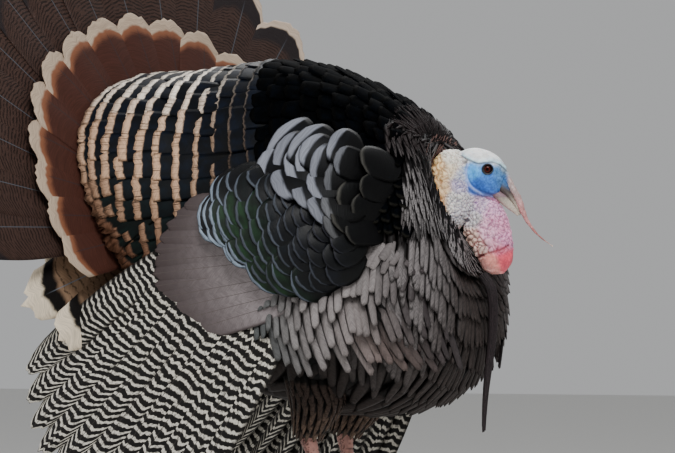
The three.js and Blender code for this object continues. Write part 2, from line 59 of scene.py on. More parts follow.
LOG = logging.getLogger("turkey")
X_AXIS = np.array([1.0, 0.0, 0.0])
Z_AXIS = np.array([0.0, 0.0, 1.0])


# ---- Measures and curves. Lengths are in millimetres until a mesh is made. ----------------------


def smooth(start: float, end: float, x: Array) -> Array:
    """An S-shaped step from 0 at start to 1 at end."""
    share = np.clip((np.asarray(x, float) - start) / (end - start), 0.0, 1.0)
    return share * share * (3.0 - 2.0 * share)


def unit(vectors: Array) -> Array:
    """Vectors scaled to a length of one."""
    return vectors / np.maximum(np.linalg.norm(vectors, axis=-1, keepdims=True), 1e-9)


def dye(code: str) -> Array:
    """A colour given as six hex digits, as linear light."""
    value = np.array([int(code[i : i + 2], 16) for i in (0, 2, 4)]) / 255.0
    return np.where(value <= 0.04045, value / 12.92, ((value + 0.055) / 1.055) ** 2.4)


def mixed(first: Array, second: Array, share: Array) -> Array:
    """Two rows of colours or points mixed by a share for each row."""
    weight = np.asarray(share, float)[..., None]
    return first * (1.0 - weight) + second * weight


def turned(points: Array, degrees: Array, pivot_x: Array = 0.0) -> Array:
    """Points turned about an upright axis that stands at pivot_x."""
    angle = np.radians(degrees)
    x, y = points[..., 0] - pivot_x, points[..., 1]
    turned_x = x * np.cos(angle) - y * np.sin(angle) + pivot_x
    return np.stack([turned_x, x * np.sin(angle) + y * np.cos(angle), points[..., 2]], -1)


def catmull(knots: Array, share: Array) -> Array:
    """A smooth line through knots.

    Args:
        knots: one row for each knot.
        share: how far along the line each wanted point is, from 0 to 1.

    Returns:
        The points, one row for each share.
    """
    ends = np.vstack([2 * knots[0] - knots[1], knots, 2 * knots[-1] - knots[-2]])
    place = np.clip(share, 0.0, 1.0) * (len(knots) - 1)
    first = np.minimum(place.astype(int), len(knots) - 2)
    t = (place - first)[..., None]
    a, b, c, d = (ends[first + i] for i in range(4))
    slope = 0.5 * t * (c - a) + t**2 * (a - 2.5 * b + 2 * c - 0.5 * d)
    return b + slope + 0.5 * t**3 * (3 * b - a - 3 * c + d)


def bezier(corners: Array, share: Array) -> Array:
    """A Bezier curve of two or three spans' corners, at the given shares."""
    points = [np.asarray(corner, float)[None, :] for corner in corners]
    t = np.asarray(share, float)[:, None]
    while len(points) > 1:
        points = [p * (1 - t) + q * t for p, q in zip(points, points[1:])]
    return points[0]


@dataclass(frozen=True)
class Loft:
    """A form through plane stations: each row is top x, top z, bottom x, bottom z and half width."""

    stations: tuple[tuple[float, ...], ...]
    middle: float = 0.5
    round_top: float = 0.94
    round_below: float = 0.94

    def point(self, share: Array, angle: Array) -> Array:
        """Points by share of the length and angle, which is 0 on top and grows to the left."""
        row = catmull(np.array(self.stations, float), np.asarray(share, float))
        flat = np.zeros_like(row[..., 0])
        top = np.stack([row[..., 0], flat, row[..., 1]], -1)
        bottom = np.stack([row[..., 2], flat, row[..., 3]], -1)
        centre = top + (bottom - top) * self.middle
        up, left = np.cos(angle), np.sin(angle)
        above = (up >= 0)[..., None]
        power = np.where(up >= 0, self.round_top, self.round_below)
        reach = np.where(above, top - centre, bottom - centre)
        across = np.sign(left) * np.abs(left) ** power * row[..., 4]
        side = np.stack([flat, across, flat], -1)
        return centre + reach * (np.abs(up) ** power)[..., None] + side


# ---- Meshes -------------------------------------------------------------------------------------


class Place:
    """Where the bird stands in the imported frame."""

    shift = np.zeros(3)

    @classmethod
    def find(cls) -> None:
        """Reads the bird's place from its packed right eye."""
        low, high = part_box("eye_right")
        eye = HEAD.on_head(np.array([0.0, -HEAD.eye_out, 0.0]))
        cls.shift = (np.array(low) + np.array(high)) * 500.0 - eye

    @classmethod
    def metres(cls, points: Array) -> Array:
        """Points of the bird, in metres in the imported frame."""
        return (points + cls.shift) / 1000.0


@dataclass
class Faces:
    """Faces of any size as one flat list of corners, with how many each has."""

    corners: Array
    sizes: Array
    flat: Array | None = None
    material: Array | None = None


def quads(rows: int, columns: int, closed: bool) -> Array:
    """The corners of a grid of quads whose normals follow columns crossed with rows.

    Args:
        rows: rows of points.
        columns: points in a row.
        closed: whether each row joins up with its own start.

    Returns:
        Four point numbers for each quad.
    """
    across = columns if closed else columns - 1
    r, c = np.meshgrid(np.arange(rows - 1), np.arange(across), indexing="ij")
    after = (c + 1) % columns
    found = np.stack([r * columns + c, (r + 1) * columns + c, (r + 1) * columns + after, r * columns + after], -1)
    return found.reshape(-1, 4)


def piece(name: str, points: Array, faces: Faces, finishes: list[bpy.types.Material]) -> bpy.types.Object:
    """A new object from points in the bird's millimetres.

    Args:
        name: the object's name.
        points: one row for each vertex.
        faces: its faces.
        finishes: the materials of its slots.

    Returns:
        The object, linked to the scene.
    """
    mesh = bpy.data.meshes.new(name)
    starts = np.concatenate([[0], np.cumsum(faces.sizes)[:-1]]).astype(np.int32)
    mesh.vertices.add(len(points))
    mesh.vertices.foreach_set("co", Place.metres(points).astype(np.float32).ravel())
    mesh.loops.add(len(faces.corners))
    mesh.loops.foreach_set("vertex_index", faces.corners.astype(np.int32))
    mesh.polygons.add(len(faces.sizes))
    mesh.polygons.foreach_set("loop_start", starts)
    mesh.polygons.foreach_set("loop_total", faces.sizes.astype(np.int32))
    rounded = np.ones(len(faces.sizes), bool) if faces.flat is None else ~faces.flat
    mesh.polygons.foreach_set("use_smooth", rounded)
    for finish in finishes:
        mesh.materials.append(finish)
    if faces.material is not None:
        mesh.polygons.foreach_set("material_index", faces.material.astype(np.int32))
    mesh.update(calc_edges=True)
    made = bpy.data.objects.new(name, mesh)
    bpy.context.scene.collection.objects.link(made)
    return made


def set_map(made: bpy.types.Object, name: str, values: Array) -> None:
    """Adds a UV map from one pair of numbers for each vertex or each face corner."""
    mesh = made.data
    layer = mesh.uv_layers.new(name=name)
    if len(values) != len(mesh.loops):
        corners = np.zeros(len(mesh.loops), np.int32)
        mesh.loops.foreach_get("vertex_index", corners)
        values = values[corners]
    layer.uv.foreach_set("vector", values.astype(np.float32).ravel())


def set_colour(made: bpy.types.Object, name: str, values: Array) -> None:
    """Adds a colour attribute of one linear colour for each vertex."""
    layer = made.data.attributes.new(name, "FLOAT_COLOR", "POINT")
    rows = np.concatenate([values, np.ones((len(values), 1))], 1)
    layer.data.foreach_set("color", rows.astype(np.float32).ravel())


# ---- Finishes -----------------------------------------------------------------------------------


class Recipe:
    """A material while its nodes are put together."""

    def __init__(self, name: str) -> None:
        """Starts a material that has only its shader."""
        self.material = bpy.data.materials.new(name)
        self.material.use_nodes = True
        self.tree = self.material.node_tree
        self.shader = self.tree.nodes["Principled BSDF"]

    def node(self, kind: str, inputs: dict | None = None, **settings: object) -> bpy.types.Node:
        """Adds a node.

        Args:
            kind: the node's type, without its ShaderNode prefix.
            inputs: values or sockets for its inputs, by name or number.
            settings: properties of the node itself.

        Returns:
            The node.
        """
        made = self.tree.nodes.new("ShaderNode" + kind)
        for key, value in settings.items():
            setattr(made, key, value)
        for key, value in (inputs or {}).items():
            self.feed(made.inputs[key], value)
        return made

    def feed(self, socket: bpy.types.NodeSocket, value: object) -> None:
        """Links a socket into an input, or sets the input to a value."""
        if isinstance(value, bpy.types.NodeSocket):
            self.tree.links.new(value, socket)
        elif socket.type == "RGBA" and not isinstance(value, float):
            socket.default_value = (*[float(v) for v in value], 1.0)
        else:
            socket.default_value = value

    def math(self, operation: str, *values: object) -> bpy.types.NodeSocket:
        """A sum worked out from numbers or sockets."""
        made = self.node("Math", dict(enumerate(values)), operation=operation)
        return made.outputs[0]

    def step(self, x: object, start: object, end: object, low: float = 0.0, high: float = 1.0) -> bpy.types.NodeSocket:
        """An S-shaped step of x from low at start to high at end."""
        limits = {"Value": x, "From Min": start, "From Max": end, "To Min": low, "To Max": high}
        return self.node("MapRange", limits, interpolation_type="SMOOTHSTEP").outputs[0]

    def mix(self, share: object, first: object, second: object, blend: str = "MIX") -> bpy.types.NodeSocket:
        """Two colours mixed by a share."""
        made = self.node("Mix", {0: share, 6: first, 7: second}, data_type="RGBA", blend_type=blend)
        return made.outputs[2]

    def attribute(self, name: str) -> bpy.types.Node:
        """The node of a mesh attribute."""
        return self.node("Attribute", attribute_name=name)

    def noise(self, vector: object, scale: float, detail: float = 2.0, rough: float = 0.5) -> bpy.types.NodeSocket:
        """A noise pattern's value, near 0.5."""
        inputs = {"Vector": vector, "Scale": scale, "Detail": detail, "Roughness": rough}
        return self.node("TexNoise", inputs).outputs[0]

    def vector(self, *values: object) -> bpy.types.NodeSocket:
        """Three numbers or sockets as one vector."""
        return self.node("CombineXYZ", dict(enumerate(values))).outputs[0]

    def own_place(self) -> bpy.types.NodeSocket:
        """The place on the object, in metres."""
        return self.node("TexCoord").outputs["Object"]

    def bump(self, height: object, depth: float) -> None:
        """Gives the shader a bump of so many metres."""
        inputs = {"Height": height, "Distance": depth, "Strength": 1.0}
        self.feed(self.shader.inputs["Normal"], self.node("Bump", inputs).outputs[0])

    def finish(self, **sockets: object) -> bpy.types.Material:
        """Sets the shader's own sockets, with spaces written as underscores."""
        for key, value in sockets.items():
            self.feed(self.shader.inputs[key.replace("_", " ")], value)
        return self.material


@dataclass(frozen=True)
class VaneFinish:
    """Feather vane: a base colour, a sheen before the band, the band, and a dark edge after it."""

    roughness: float = 0.5
    barbs: float = 46.0
    slope: float = 12.0
    streaks: float = 0.35
    comb: float = 0.0
    metal: float = 0.0
    sheen: float = 0.0
    edge: str = "0b0a0a"
    soft: float = 0.035
    rim: float = 1.0
    gloss: float = 0.45

    def build(self, name: str) -> bpy.types.Material:
        """Mixes the material from the vane map and the colours that each feather carries."""
        mix = Recipe(name)
        vane = mix.node("SeparateXYZ", {0: mix.node("UVMap", uv_map="vane").outputs[0]})
        across, along = vane.outputs[0], vane.outputs[1]
        marks = mix.node("SeparateColor", {0: mix.attribute("marks").outputs[0]})
        start, end, chance = marks.outputs[0], marks.outputs[1], marks.outputs[2]
        off = mix.math("ABSOLUTE", mix.math("SUBTRACT", across, 0.5))
        barb = mix.math("SUBTRACT", mix.math("MULTIPLY", along, self.barbs), mix.math("MULTIPLY", off, self.slope))
        seed = mix.math("MULTIPLY", chance, 37.0)
        fibre = mix.noise(mix.vector(barb, mix.math("MULTIPLY", across, 1.5), seed), 1.0, 3.0, 0.6)
        patch = mix.noise(mix.vector(mix.math("MULTIPLY", across, 3.0), mix.math("MULTIPLY", along, 4.0), seed), 1.0)
        wander = mix.math("MULTIPLY_ADD", patch, 0.05, -0.025)
        ragged = mix.math("MULTIPLY_ADD", fibre, 0.03, -0.015)
        place = mix.math("ADD", mix.math("ADD", along, wander), ragged)
        entry = mix.step(place, start, mix.math("ADD", start, self.soft))
        leave = mix.step(place, end, mix.math("ADD", end, self.soft * 0.7))
        glow = mix.step(place, mix.math("SUBTRACT", start, 0.34), mix.math("SUBTRACT", start, 0.05))
        shine = mix.math("MULTIPLY", glow, mix.step(patch, 0.35, 0.7, 0.25, 1.0))
        colour = mix.mix(shine, mix.attribute("base").outputs[0], mix.attribute("gloss").outputs[0])
        if self.rim < 1.0:
            # Here it only makes the inner edge of the feather's own dark rim ragged, like wear.
            edge_wear_and_shade = mix.math("MULTIPLY_ADD", fibre, 0.3, -0.15)
            inner = mix.step(mix.math("ADD", mix.math("MULTIPLY", off, 2.0), edge_wear_and_shade), self.rim + 0.12, self.rim - 0.2)
            entry = mix.math("MULTIPLY", entry, inner)
        colour = mix.mix(entry, colour, mix.attribute("tint").outputs[0])
        if self.comb:
            slit = mix.noise(mix.vector(mix.math("MULTIPLY", across, 26.0), along, seed), 1.0, 1.0)
            cuts = mix.math("MULTIPLY", mix.step(slit, 0.56, 0.66), self.comb)
            colour = mix.mix(mix.math("MULTIPLY", cuts, entry), colour, dye("1a1512"))
        colour = mix.mix(leave, colour, dye(self.edge))
        shade = mix.step(fibre, 0.3, 0.7, 1.0 - self.streaks, 1.0 + self.streaks * 0.6)
        colour = mix.mix(1.0, colour, mix.vector(shade, shade, shade), "MULTIPLY")
        mix.bump(fibre, 0.00025)
        return mix.finish(
            Base_Color=colour,
            Roughness=self.roughness,
            Metallic=self.metal,
            Sheen_Weight=self.sheen,
            Specular_IOR_Level=self.gloss,
        )


# ---- Feathers -----------------------------------------------------------------------------------


@dataclass(frozen=True)
class VaneShape:
    """The form of a feather's vane, as shares of its length or half width."""

    across: int = 6
    along: int = 8
    cup: float = 0.22
    arch: float = 0.03
    root: float = 0.35
    fullest: float = 0.5
    corner: float = 0.12
    squareness: float = 3.0
    taper: float = 0.15
    fray: float = 0.02
    depth: float = 0.6
    lined: bool = False


@dataclass
class Feathers:
    """Feathers to be meshed. Each array has a row for each feather, in the bird's millimetres."""

    root: Array
    tip: Array
    up: Array
    width: Array
    base: Array
    gloss: Array
    tint: Array
    band: Array
    cell: Array
    patch: tuple[float, float] = (0.004, 0.008)

    def count(self) -> int:
        """How many feathers there are."""
        return len(self.root)

    def turned_by(self) -> Array:
        """How many degrees each feather's place is from the middle of the back."""
        return np.abs(self.cell[:, 0] - 0.5) * 360 / 0.94

    def kept(self, keep: Array) -> "Feathers":
        """The feathers for which keep is true."""
        names = ("root", "tip", "up", "width", "base", "gloss", "tint", "band", "cell")
        return Feathers(*(getattr(self, name)[keep] for name in names), self.patch)

    @staticmethod
    def vane_faces(nu: int, nv: int, lined: bool) -> tuple[Array, Array, Array]:
        """The faces that close one vane.

        Args:
            nu: faces across the vane.
            nv: faces along the vane.
            lined: whether the underside is a second grid rather than quads from edge to edge.

        Returns:
            The corners in one list, how many each face has, and which faces are flat.
        """
        row, per = nu + 1, (nu + 1) * (nv + 1)
        top = quads(nv + 1, row, False)
        if lined:
            ring = np.concatenate([np.arange(nu), np.arange(nv) * row + nu, per - 1 - np.arange(nu),
                                   np.arange(nv, 0, -1) * row])
            after = np.roll(ring, -1)
            rim = np.stack([ring, after, after + per, ring + per], -1)
            corners = np.concatenate([rim.ravel(), (top[:, ::-1] + per).ravel(), top.ravel()])
            flat = np.arange(len(corners) // 4) < len(rim)
            return corners, np.full(len(flat), 4), flat
        r = np.arange(nv) * row
        below = np.stack([r, r + nu, r + row + nu, r + row], -1)
        caps = [np.arange(row), (nv * row + np.arange(row))[::-1]]
        sizes = np.concatenate([np.full(nv, 4), [row, row], np.full(len(top), 4)])
        return np.concatenate([below.ravel(), *caps, top.ravel()]), sizes, np.arange(len(sizes)) < nv + 2

    def mesh(self, name: str, shape: VaneShape, finish: bpy.types.Material, seed: int) -> bpy.types.Object:
        """Makes one closed vane for each feather, joined in one object.

        Args:
            name: the object's name.
            shape: the form that all of them share.
            finish: their material.
            seed: what the ragged tips are drawn from.

        Returns:
            The object.
        """
        rng = np.random.default_rng(seed)
        n, nu, nv = self.count(), shape.across, shape.along
        u = np.linspace(-1, 1, nu + 1)[None, None, :]
        v = (1 - (1 - np.linspace(0, 1, nv + 1)) ** 1.3)[None, :, None]
        span = self.tip - self.root
        length = np.linalg.norm(span, axis=1)[:, None, None]
        along = unit(span)
        side = unit(np.cross(self.up, along))
        up = np.cross(along, side)
        half = self.width[:, None, None] / 2
        growth = shape.root + (1 - shape.root) * np.sin(np.minimum(v / shape.fullest, 1) * np.pi / 2)
        growth = growth * (1 - shape.taper * smooth(0.7, 1.0, v))
        ragged = shape.fray * (rng.random((n, 1, nu + 1)) - 0.5) * 2 * v**6
        reach = length * v * (1 - shape.corner * np.abs(u) ** shape.squareness * v**2 + ragged)
        sideways = u * half * growth
        rise = -shape.cup * half * growth * u**2 + 4 * shape.arch * length * v * (1 - v)
        twist = rng.normal(0, 0.05, (n, 1, 1)) * sideways
        rise = rise + twist + shape.depth / 2
        grid = self.root[:, None, None] + along[:, None, None] * reach[..., None]
        grid = grid + side[:, None, None] * sideways[..., None] + up[:, None, None] * rise[..., None]
        grid[:, :, [0, -1]] -= up[:, None, None] * shape.depth * 0.5
        grid[..., 2] = np.maximum(grid[..., 2], 0.4)
        uv = np.broadcast_to(np.stack(np.broadcast_arrays(u * 0.5 + 0.5, v), -1), (n, nv + 1, nu + 1, 2))
        if shape.lined:
            thick = shape.depth * (1 - 0.6 * u**2) * np.ones_like(rise)
            under = grid - up[:, None, None] * thick[..., None]
            under[..., 2] = np.maximum(under[..., 2], 0.2)
            grid, uv = np.concatenate([grid, under], 1), np.concatenate([uv, uv], 1)
        corners, sizes, flat = self.vane_faces(nu, nv, shape.lined)
        per = grid.shape[1] * (nu + 1)
        shifts = np.arange(n)[:, None] * per
        faces = Faces((corners[None] + shifts).ravel(), np.tile(sizes, n), np.tile(flat, n))
        made = piece(name, grid.reshape(-1, 3), faces, [finish])
        set_map(made, "vane", uv.reshape(-1, 2))
        patch = (uv - 0.5) * np.array(self.patch) + self.cell[:, None, None]
        set_map(made, "OFBake", patch.reshape(-1, 2))
        chance = rng.random((n, 1))
        for label, values in (("base", self.base), ("gloss", self.gloss), ("tint", self.tint)):
            set_colour(made, label, np.repeat(values, per, 0))
        set_colour(made, "marks", np.repeat(np.concatenate([self.band, chance], 1), per, 0))
        return made


# ---- The trunk's form ----------------------------------------------------------------------------


@dataclass(frozen=True)
class Trunk:
    """The trunk's coat, from the ruff at the neck, station 0, to the rim of the rump, station 8."""

    loft: Loft = Loft(
        (
            (120, 508, 156, 404, 40),
            (140, 532, 188, 372, 82),
            (100, 571, 199, 318, 128),
            (44, 604, 188, 250, 150),
            (-20, 626, 130, 204, 158),
            (-80, 631, 40, 192, 160),
            (-135, 624, -70, 214, 158),
            (-190, 616, -132, 268, 166),
            (-257, 612, -146, 344, 184),
        ),
        0.52,
        0.95,
        0.8,
    )
    last: float = 8.0
    neck_turn: float = 4.0
    neck_turn_end: float = 2.2
    neck_pivot: float = 90.0
    tail_turn: float = -18.8
    tail_turn_start: float = 5.6
    tail_pivot: float = -205.0

    def point(self, station: Array, angle: Array) -> Array:
        """Points of the coat's outside, by station and by angle from the back towards the left."""
        station = np.clip(station, 0.0, self.last)
        straight = self.loft.point(station / self.last, angle)
        neck = self.neck_turn * (1 - smooth(0, self.neck_turn_end, station))
        tail = self.tail_turn * smooth(self.tail_turn_start, self.last, station)
        pivot = np.where(tail != 0, self.tail_pivot, self.neck_pivot)
        return turned(straight, neck + tail, pivot)

    def slopes(self, station: Array, angle: Array) -> tuple[Array, Array, Array]:
        """How the coat runs at its points.

        Args:
            station: a station for each point.
            angle: an angle for each point, in radians.

        Returns:
            The change for each station, the change for each radian, and the outward normal.
        """
        s, e = np.clip(station, 0.03, self.last - 0.03), 0.03
        backward = (self.point(s + e, angle) - self.point(s - e, angle)) / (2 * e)
        round_it = (self.point(s, angle + e) - self.point(s, angle - e)) / (2 * e)
        return backward, round_it, unit(np.cross(round_it, backward))

    def walk(self, station: Array, angle: Array, way: Array) -> tuple[Array, Array]:
        """The station and angle that lie a small step away along the coat."""
        backward, round_it, _ = self.slopes(station, angle)
        aa, bb = (backward**2).sum(-1), (round_it**2).sum(-1)
        ab = (backward * round_it).sum(-1)
        a, b = (backward * way).sum(-1), (round_it * way).sum(-1)
        det = np.maximum(aa * bb - ab**2, 1e-6)
        return station + (a * bb - b * ab) / det, angle + (b * aa - a * ab) / det


# ---- Head and skin ------------------------------------------------------------------------------


@dataclass(frozen=True)
class Patch:
    """A patch of skin on the head: where it is, seen from the side, how far it reaches, its colour
    on the swellings and its darker colour in the creases, which is painted shade in the skin's own hue, and how high
    and how wide its warts are."""

    x: float
    z: float
    reach: float
    top: str
    crease_shade: str
    height: float
    wart: float = 5.0


@dataclass(frozen=True)
class Head:
    """The bare head and neck, in its own frame: x forward, y left, z up, with the eyes at the origin."""

    eyes: tuple[float, float, float] = (196.0, 12.0, 494.0)
    turn: float = 20.0
    eye_radius: float = 8.6
    eye_out: float = 12.8
    skull: Loft = Loft(
        (
            (-38, 17, -28, -20, 14),
            (-29, 23.5, -20, -27, 19),
            (-15, 26, -6, -32, 21),
            (2, 21.5, 7, -32, 19),
            (14, 13, 13, -29, 14.5),
            (21, 0, 15, -24, 9.5),
        )
    )
    upper_bill: Loft = Loft(
        (
            (16, -3, 2, -19.5, 8.5),
            (22.5, -15, 13.5, -27, 8.0),
            (29, -29, 23.5, -34, 6.7),
            (36.2, -43, 32.5, -46, 4.3),
            (39.2, -53.5, 38, -56.2, 1.2),
        )
    )
    lower_bill: Loft = Loft(
        (
            (2, -18, 2, -31, 7.6),
            (14, -25, 10.5, -37.5, 7.3),
            (24, -32.5, 19, -44.5, 5.9),
            (32.5, -43.5, 28, -51, 4.2),
            (37.6, -52.5, 35.5, -56.5, 1.6),
        )
    )
    neck: Loft = Loft(
        (
            (-112, -66, -72, -104, 29),
            (-92, -42, -50, -88, 32),
            (-76, -19, -32, -68, 32),
            (-69, 7, -19, -52, 29),
            (-54, 22, -10, -40, 23),
            (-36, 23, -4, -30, 17),
        )
    )
    wattle: Loft = Loft(
        (
            (-12, -34, 12, -37, 13),
            (-22, -50, 20, -52, 18),
            (-30, -72, 27, -74, 20),
            (-21, -94, 30, -97, 18),
            (-12, -110, 28, -114, 16),
            (-6, -122, 18, -126, 11),
        )
    )
    snood_path: tuple[tuple[float, ...], ...] = (
        (11, -1, 8), (18.5, -1, -1), (24, -1.5, -12), (30, -2, -24), (36.5, -2.5, -36),
        (41.5, -3, -50), (48.5, -3, -64.5), (61, -2, -80), (78, 0, -93),
    )
    snood_radius: float = 4.0
    snood_tip: float = 0.9
    brow: tuple[tuple[float, float], ...] = ((-32, 17), (-22, 11.5), (-11, 7.3), (5, 9.2), (15, 6), (22, -1))
    ridge: tuple[tuple[float, float], ...] = ((-24, 6), (-26, -8), (-20, -21), (-8, -29), (4, -33))
    jaw: tuple[tuple[float, float], ...] = ((-2, -33.5), (6, -36), (13, -40), (17, -44))
    lobe: tuple[tuple[float, float], ...] = ((-12, -106), (2, -101), (14, -98), (26, -92))
    patches: tuple[Patch, ...] = (
        Patch(-6, 20, 13, "f2f8fb", "dcebf3", 0.10),
        Patch(8, 15, 9, "eef5f9", "cde0ec", 0.10),
        Patch(-20, 20, 8, "e4eff4", "b8cdd9", 0.3),
        Patch(-17, -1, 9, "52b6ff", "3a92ee", 0.15, 3.0),
        Patch(-2, 2, 8, "4a9cec", "3778c4", 0.15, 3.0),
        Patch(2, -11, 9, "3f83d8", "2c5fb8", 0.2, 3.0),
        Patch(-8, -19, 9, "3673d2", "2554b0", 0.2, 3.0),
        Patch(12, -3, 7, "5794cc", "35669f", 0.3, 3.0),
        Patch(17, -12, 6, "4f86c4", "2f568f", 0.5, 3.0),
        Patch(20, 2, 6, "a3b4c0", "5f7688", 0.5, 3.0),
        Patch(-30, 12, 7, "fbf6f0", "8d7f8a", 1.5, 4.6),
        Patch(-40, 12, 8, "fffaee", "95836f", 1.8, 5.0),
        Patch(-44, -2, 9, "fdeacc", "b08f70", 2.0, 5.4),
        Patch(-58, -4, 10, "fcd8a2", "b8854e", 2.2, 6.0),
        Patch(-66, -20, 10, "f8c98c", "ac7440", 2.2, 6.0),
        Patch(-60, -36, 10, "eebd86", "96663c", 2.1, 6.0),
        Patch(-50, -22, 8, "f3d2a6", "9c7458", 1.9, 5.4),
        Patch(-38, -20, 8, "c6bcd6", "5f538e", 1.5, 4.5),
        Patch(-34, -6, 7, "c9d0dc", "5d63a4", 1.3, 4.5),
        Patch(-40, -36, 9, "ece9e4", "6b6078", 1.8, 4.5),
        Patch(-26, -46, 9, "e3dde2", "6a5c7c", 1.8, 4.5),
        Patch(-18, -62, 9, "e0dbdc", "66586c", 1.9, 4.5),
        Patch(-8, -42, 8, "dcc3d8", "7a5690", 1.4, 4.5),
        Patch(8, -50, 9, "f2bbdc", "8f4a78", 1.5, 4.5),
        Patch(12, -66, 10, "f0a8ca", "8c4068", 1.7, 5.0),
        Patch(0, -74, 11, "f6bfd8", "8f4a70", 1.9, 5.2),
        Patch(18, -84, 9, "e8a2c6", "84406a", 1.8, 5.0),
        Patch(-18, -80, 9, "f2cdbd", "96525a", 2.3, 6.5),
        Patch(-9, -94, 9, "f4d3c8", "98464c", 2.3, 7.0),
        Patch(6, -90, 8, "f4b4ca", "8f3c58", 1.9, 5.5),
        Patch(16, -98, 7, "dc7590", "962f4c", 1.4, 6.0),
        Patch(4, -112, 8, "f09c90", "e2807a", 0.3, 4.0),
        Patch(20, -108, 8, "e7586a", "cf4458", 0.3, 4.0),
        Patch(-4, -120, 9, "f4bdb4", "e09a94", 0.3, 4.0),
    )

    def on_head(self, points: Array) -> Array:
        """Points of the head's own frame, in the bird's frame."""
        return turned(points, self.turn) + np.array(self.eyes)

    def from_bird(self, points: Array) -> Array:
        """Points of the bird's frame, in the head's own frame."""
        return turned(points - np.array(self.eyes), -self.turn)

    def snood(self, around: int, rows: int) -> tuple[Array, Array]:
        """The snood as a tube that swells and wrinkles a little."""
        def radius(share: Array) -> Array:
            full = self.snood_radius + (self.snood_tip - self.snood_radius) * smooth(0.45, 1, share)
            return full * (1 + 0.05 * np.sin(share * 70)) * (1 + 0.12 * np.exp(-(((share - 0.55) / 0.12) ** 2)))
        return tube(np.array(self.snood_path, float), around, rows, radius)


HEAD = Head()


def capped(rings: Array, first: Array, last: Array) -> tuple[Array, Array]:
    """A closed form from rings of points and the two points that it ends in.

    Args:
        rings: rows of points, each closed on itself and running so that the form's outside faces out.
        first: the point before the first ring.
        last: the point after the last ring.

    Returns:
        The points, and triangles of point numbers.
    """
    rows, around = rings.shape[:2]
    points = np.concatenate([rings.reshape(-1, 3), first[None], last[None]])
    walls = quads(rows, around, True)
    triangles = np.concatenate([walls[:, [0, 1, 2]], walls[:, [0, 2, 3]]])
    ring = np.arange(around)
    start, end = rows * around, rows * around + 1
    near = np.stack([np.full(around, start), ring, (ring + 1) % around], -1)
    base = (rows - 1) * around
    far = np.stack([np.full(around, end), base + (ring + 1) % around, base + ring], -1)
    triangles = np.concatenate([triangles, near, far])
    a, b, c = (points[triangles[:, i]] for i in range(3))
    if np.einsum("ij,ij->i", a, np.cross(b, c)).sum() < 0:
        triangles = triangles[:, ::-1]
    return points, triangles


def loft_form(loft: Loft, around: int, rows: int, bulge: float = 0.3) -> tuple[Array, Array]:
    """A closed form over a loft, with rounded ends."""
    share = np.linspace(0, 1, rows)[:, None]
    angle = np.linspace(0, 2 * np.pi, around, endpoint=False)[None, :]
    rings = loft.point(share + 0 * angle, angle + 0 * share)
    ends = []
    for ring, inner in ((rings[0], rings[1]), (rings[-1], rings[-2])):
        middle = ring.mean(0)
        ends.append(middle + unit(middle - inner.mean(0)) * bulge * np.abs(ring[:, 1]).max())
    return capped(rings, *ends)


def tube(path: Array, around: int, rows: int, radius: Callable[[Array], Array], wide: float = 1.0,
         deep: float = 1.0) -> tuple[Array, Array]:
    """A closed tube along a path.

    Args:
        path: the points it follows.
        around: points in each ring.
        rows: how many rings.
        radius: gives the radius at shares of the length.
        wide: what the radius is multiplied by sideways.
        deep: what the radius is multiplied by across that.

    Returns:
        The points and triangles.
    """
    share = np.linspace(0, 1, rows)
    middle = catmull(path, share)
    along = unit(np.gradient(middle, axis=0))
    normal = unit(np.cross(np.array([0.0, 1.0, 0.0]), along))
    side = np.cross(along, normal)
    size = radius(share)[:, None, None]
    angle = np.linspace(0, 2 * np.pi, around, endpoint=False)[None, :, None]
    rings = middle[:, None] + size * (
        np.cos(angle) * side[:, None] * wide + np.sin(angle) * normal[:, None] * deep
    )
    step = radius(share)[[0, -1]]
    return capped(rings, middle[0] - along[0] * step[0] * 0.6, middle[-1] + along[-1] * step[1] * 0.6)


def grown_together(name: str, forms: list[tuple[Array, Array]], voxel: float, rounds: int) -> bpy.types.Object:
    """Closed forms grown into one even surface.

    Args:
        name: the object's name.
        forms: points and triangles of each form, in the bird's millimetres.
        voxel: the size of the new surface's faces, in millimetres.
        rounds: how many times it is smoothed.

    Returns:
        The object.
    """
    points = np.concatenate([form[0] for form in forms])
    starts = np.cumsum([0] + [len(form[0]) for form in forms[:-1]])
    corners = np.concatenate([form[1] + start for form, start in zip(forms, starts)])
    made = piece(name, points, Faces(corners.ravel(), np.full(len(corners), 3)), [])
    remesh = made.modifiers.new("grow", "REMESH")
    remesh.mode, remesh.voxel_size = "VOXEL", voxel / 1000.0
    if rounds:
        relax = made.modifiers.new("relax", "SMOOTH")
        relax.factor, relax.iterations = 0.5, rounds
    settle(made)
    return made


def settle(made: bpy.types.Object) -> None:
    """Makes an object's modifiers part of its mesh."""
    bpy.context.view_layer.update()
    result = bpy.data.meshes.new_from_object(made.evaluated_get(bpy.context.evaluated_depsgraph_get()))
    made.modifiers.clear()
    made.data = result


def points_of(made: bpy.types.Object) -> tuple[Array, Array]:
    """An object's points in the bird's millimetres, and their normals."""
    count = len(made.data.vertices)
    points, normals = np.zeros(count * 3, np.float32), np.zeros(count * 3, np.float32)
    made.data.vertices.foreach_get("co", points)
    made.data.vertices.foreach_get("normal", normals)
    return points.reshape(-1, 3) * 1000.0 - Place.shift, normals.reshape(-1, 3).astype(float)


